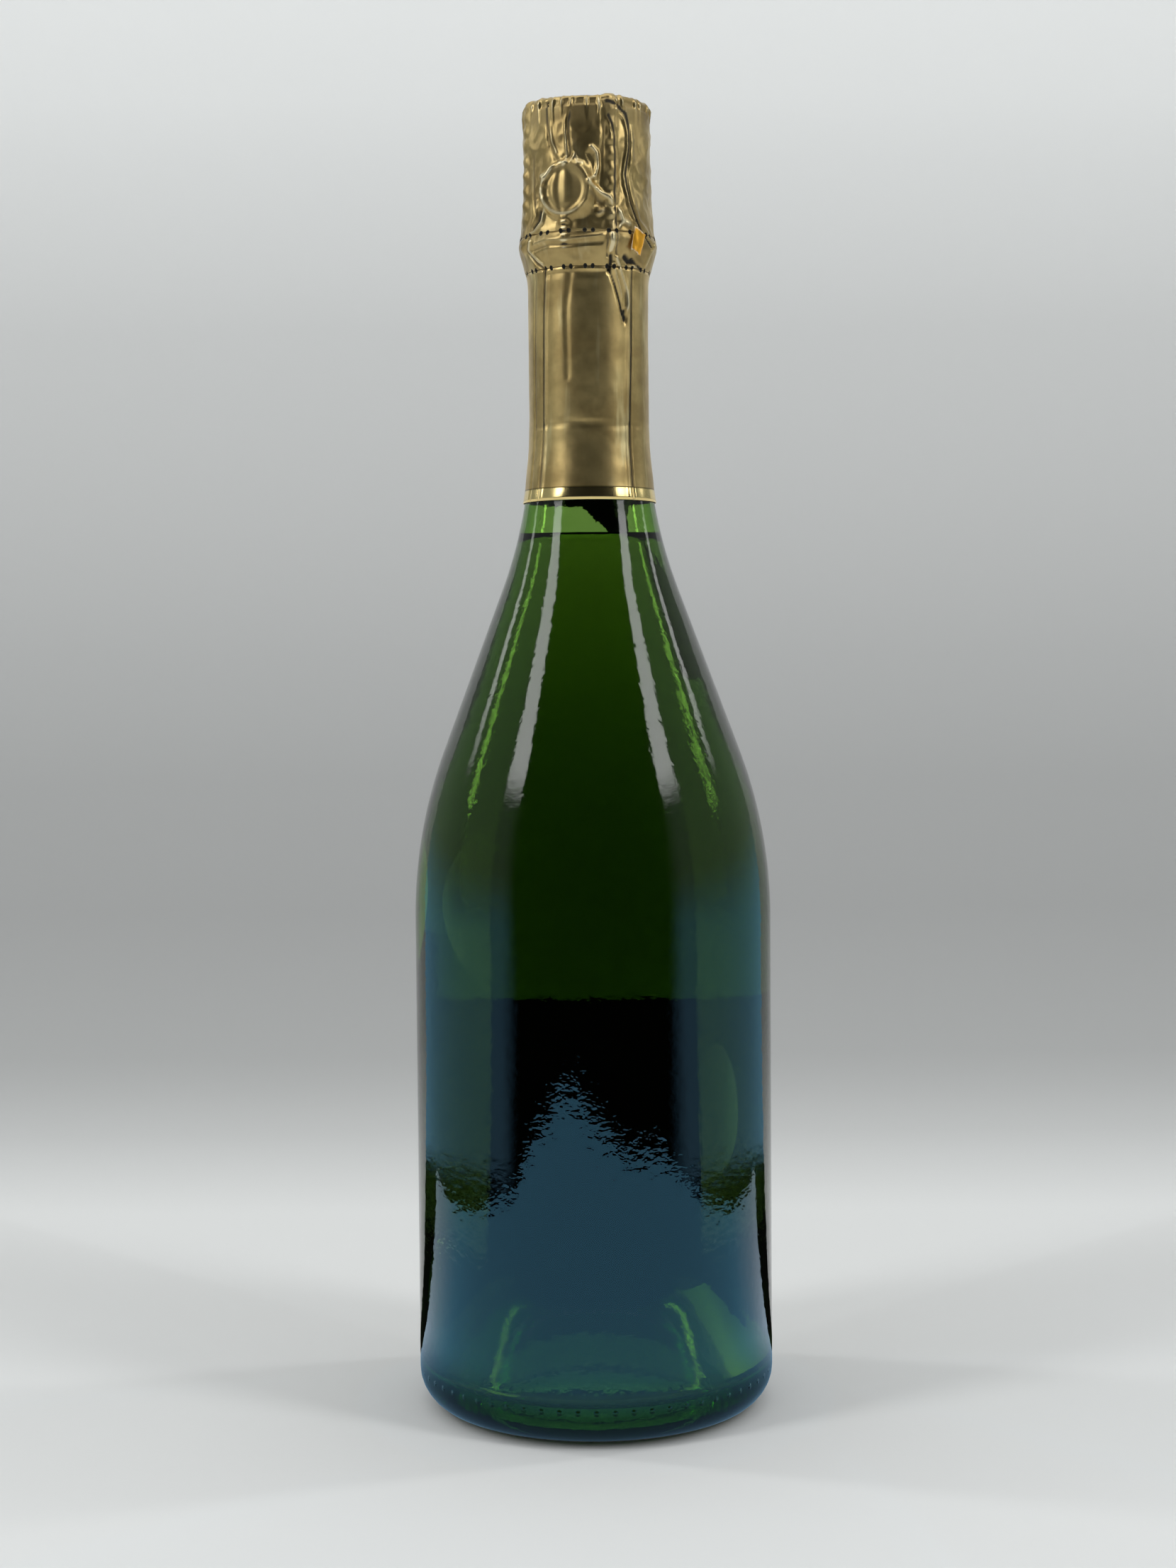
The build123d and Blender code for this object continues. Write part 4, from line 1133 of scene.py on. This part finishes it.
def stageObject(mesh, name, material, seenIn=""):
    data = bpy.data.meshes.new(name)
    mesh.to_mesh(data)
    mesh.free()
    made = bpy.data.objects.new(name, data)
    bpy.context.scene.collection.objects.link(made)
    for face in data.polygons:
        face.use_smooth = True
    data.materials.append(material)
    if seenIn:  # shows only in gloss, or only through the glass
        made.visible_camera = False
        made.visible_diffuse = False
        made.visible_shadow = False
        made.visible_glossy = seenIn == "gloss"
        made.visible_transmission = seenIn == "glass"


def makeSweep():
    look = studioLook
    radius = look["sweepRadius"]
    line = [(look["floorFront"], 0.0)] + arcStops((look["floorBack"], radius), radius, -90, 0, 24)
    line.append((look["floorBack"] + radius, look["wallHeight"]))
    mesh = bmesh.new()
    verts = [mesh.verts.new((-look["halfWidth"], y, z)) for y, z in line]
    edges = [mesh.edges.new(pair) for pair in zip(verts, verts[1:])]
    strip = bmesh.ops.extrude_edge_only(mesh, edges=edges)["geom"]
    moved = [item for item in strip if isinstance(item, bmesh.types.BMVert)]
    bmesh.ops.translate(mesh, verts=moved, vec=(2 * look["halfWidth"], 0, 0))
    bmesh.ops.recalc_face_normals(mesh, faces=mesh.faces)
    stageObject(mesh, "sweep", sweepMaterial())


def glow(bench, colour, alpha=1.0):
    values = {
        "Base Color": (0.0, 0.0, 0.0), "Roughness": 1.0, "Specular IOR Level": 0.0, "Emission Color": colour,
        "Emission Strength": 1.0, "Alpha": alpha,
    }
    return bench.surface(values)


def roomMaterial(look):
    # the room that the gloss shows: dark in front, pale walls and tall windows at both sides
    bench = Bench("roomInGloss")
    azimuth, reach, height = bench.around()
    side = abs(azimuth).above(*look["sideEnds"]) * reach.above(*look["floorEnds"])
    pale = bench.mixed(height.above(*look["lowEnds"]), look["low"], look["wall"])
    colour = bench.mixed(side, look["dark"], pale)
    for middle, half, low, high, strength in look["windows"]:
        beside = abs(abs(azimuth) - middle).above(half - look["windowEdge"], half)
        colour = bench.mixed((1 - beside) * height.above(low, high), colour, (strength,) * 3)
    return glow(bench, colour)


def tableMaterial(look):
    bench = Bench("tableInGloss")
    azimuth, reach, height = bench.around()
    turned = bench.mixed(abs(azimuth).above(*look["tableTurn"]), look["table"], look["tableSide"])
    return glow(bench, bench.mixed(reach.above(*look["tableShadow"]), look["tableNear"], turned))


def flatRing(radii, height):
    return spunMesh([(radius, height) for radius in radii], 48)


def makeRoom():
    look = roomLook
    radius, lift = look["radius"], look["floorLift"]
    profile = [(look["inner"], lift), (radius, lift), (radius, look["height"])]
    mesh = spunMesh(profile, 48, False, 2 * look["halfAngle"], 270 - look["halfAngle"])
    stageObject(mesh, "room_in_gloss", roomMaterial(look), "gloss")
    # the dark side of the room, for light that turns back inside the bottle
    profile.append((look["inner"], look["height"]))
    mesh = spunMesh(profile, 32, False, 2 * look["frontHalf"], 270 - look["frontHalf"])
    stageObject(mesh, "front_in_glass", glow(Bench("darkFront"), look["dark"]), "glass")
    # the bottle's own shadow on the table, for light through the heel and the punt
    shadow = glow(Bench("darkFoot"), look["foot"])
    stageObject(flatRing(look["footRadii"], lift), "foot_in_glass", shadow, "glass")
    stageObject(flatRing(look["puntRadii"], lift), "punt_in_glass", shadow, "glass")
    mesh = bmesh.new()
    for azimuth, reach in look["edge"]:
        angle = radians(azimuth)
        mesh.verts.new(Vector((reach * sin(angle), -reach * cos(angle), look["tableLift"])) * mm)
    bmesh.ops.contextual_create(mesh, geom=mesh.verts)
    stageObject(mesh, "table_in_gloss", tableMaterial(look), "gloss")
    # a pale shade that shows only from above, so that the foil's undersides stay warm
    mesh = flatRing((look["shadeInner"], radius), look["shadeHeight"])
    if sum(face.normal.z for face in mesh.faces) < 0:
        bmesh.ops.reverse_faces(mesh, faces=mesh.faces)
    bench = Bench("shadeInGloss")
    above = 1 - bench.node("NewGeometry", out=6)
    stageObject(mesh, "shade_in_gloss", glow(bench, look["shade"], above), "gloss")


def aimed(obj, spot, target):
    obj.location = spot
    obj.rotation_euler = (Vector(target) - Vector(spot)).to_track_quat("-Z", "Y").to_euler()


def makeLamps():
    target = Vector(studioLook["lampTarget"])
    for name, (azimuth, elevation, distance, width, height, power) in lampLook.items():
        light = bpy.data.lights.new(name, "AREA")
        light.shape = "RECTANGLE"
        light.size = width
        light.size_y = height
        light.energy = power
        lamp = bpy.data.objects.new(name, light)
        bpy.context.scene.collection.objects.link(lamp)
        flat = Vector((sin(radians(azimuth)), -cos(radians(azimuth)), 0)) * cos(radians(elevation))
        aimed(lamp, target + (flat + Vector((0, 0, sin(radians(elevation))))) * distance, target)
        lamp.visible_camera = False
        lamp.visible_glossy = name == "topPanel"


def makeWorld():
    world = bpy.data.worlds.new("softRoom")
    bpy.context.scene.world = world
    world.use_nodes = True
    back = world.node_tree.nodes["Background"]
    back.inputs["Color"].default_value = (*studioLook["world"], 1)
    back.inputs["Strength"].default_value = studioLook["worldStrength"]


def makeCamera():
    look = cameraLook
    data = bpy.data.cameras.new("camera")
    data.lens = look["lens"]
    data.sensor_width = look["sensor"]
    camera = bpy.data.objects.new("camera", data)
    bpy.context.scene.collection.objects.link(camera)
    swing = Matrix.Rotation(radians(look["swing"]), 4, "Z")
    pitch = Matrix.Rotation(radians(90 - look["pitch"]), 4, "X")
    turn = swing @ pitch @ Matrix.Rotation(radians(look["roll"]), 4, "Z")
    camera.matrix_world = Matrix.Translation((0, -look["distance"], look["height"])) @ turn
    bpy.context.scene.camera = camera


makeSweep()
makeRoom()
makeLamps()
makeWorld()
makeCamera()
bpy.context.scene.view_settings.view_transform = "Standard"
print("studio ready")
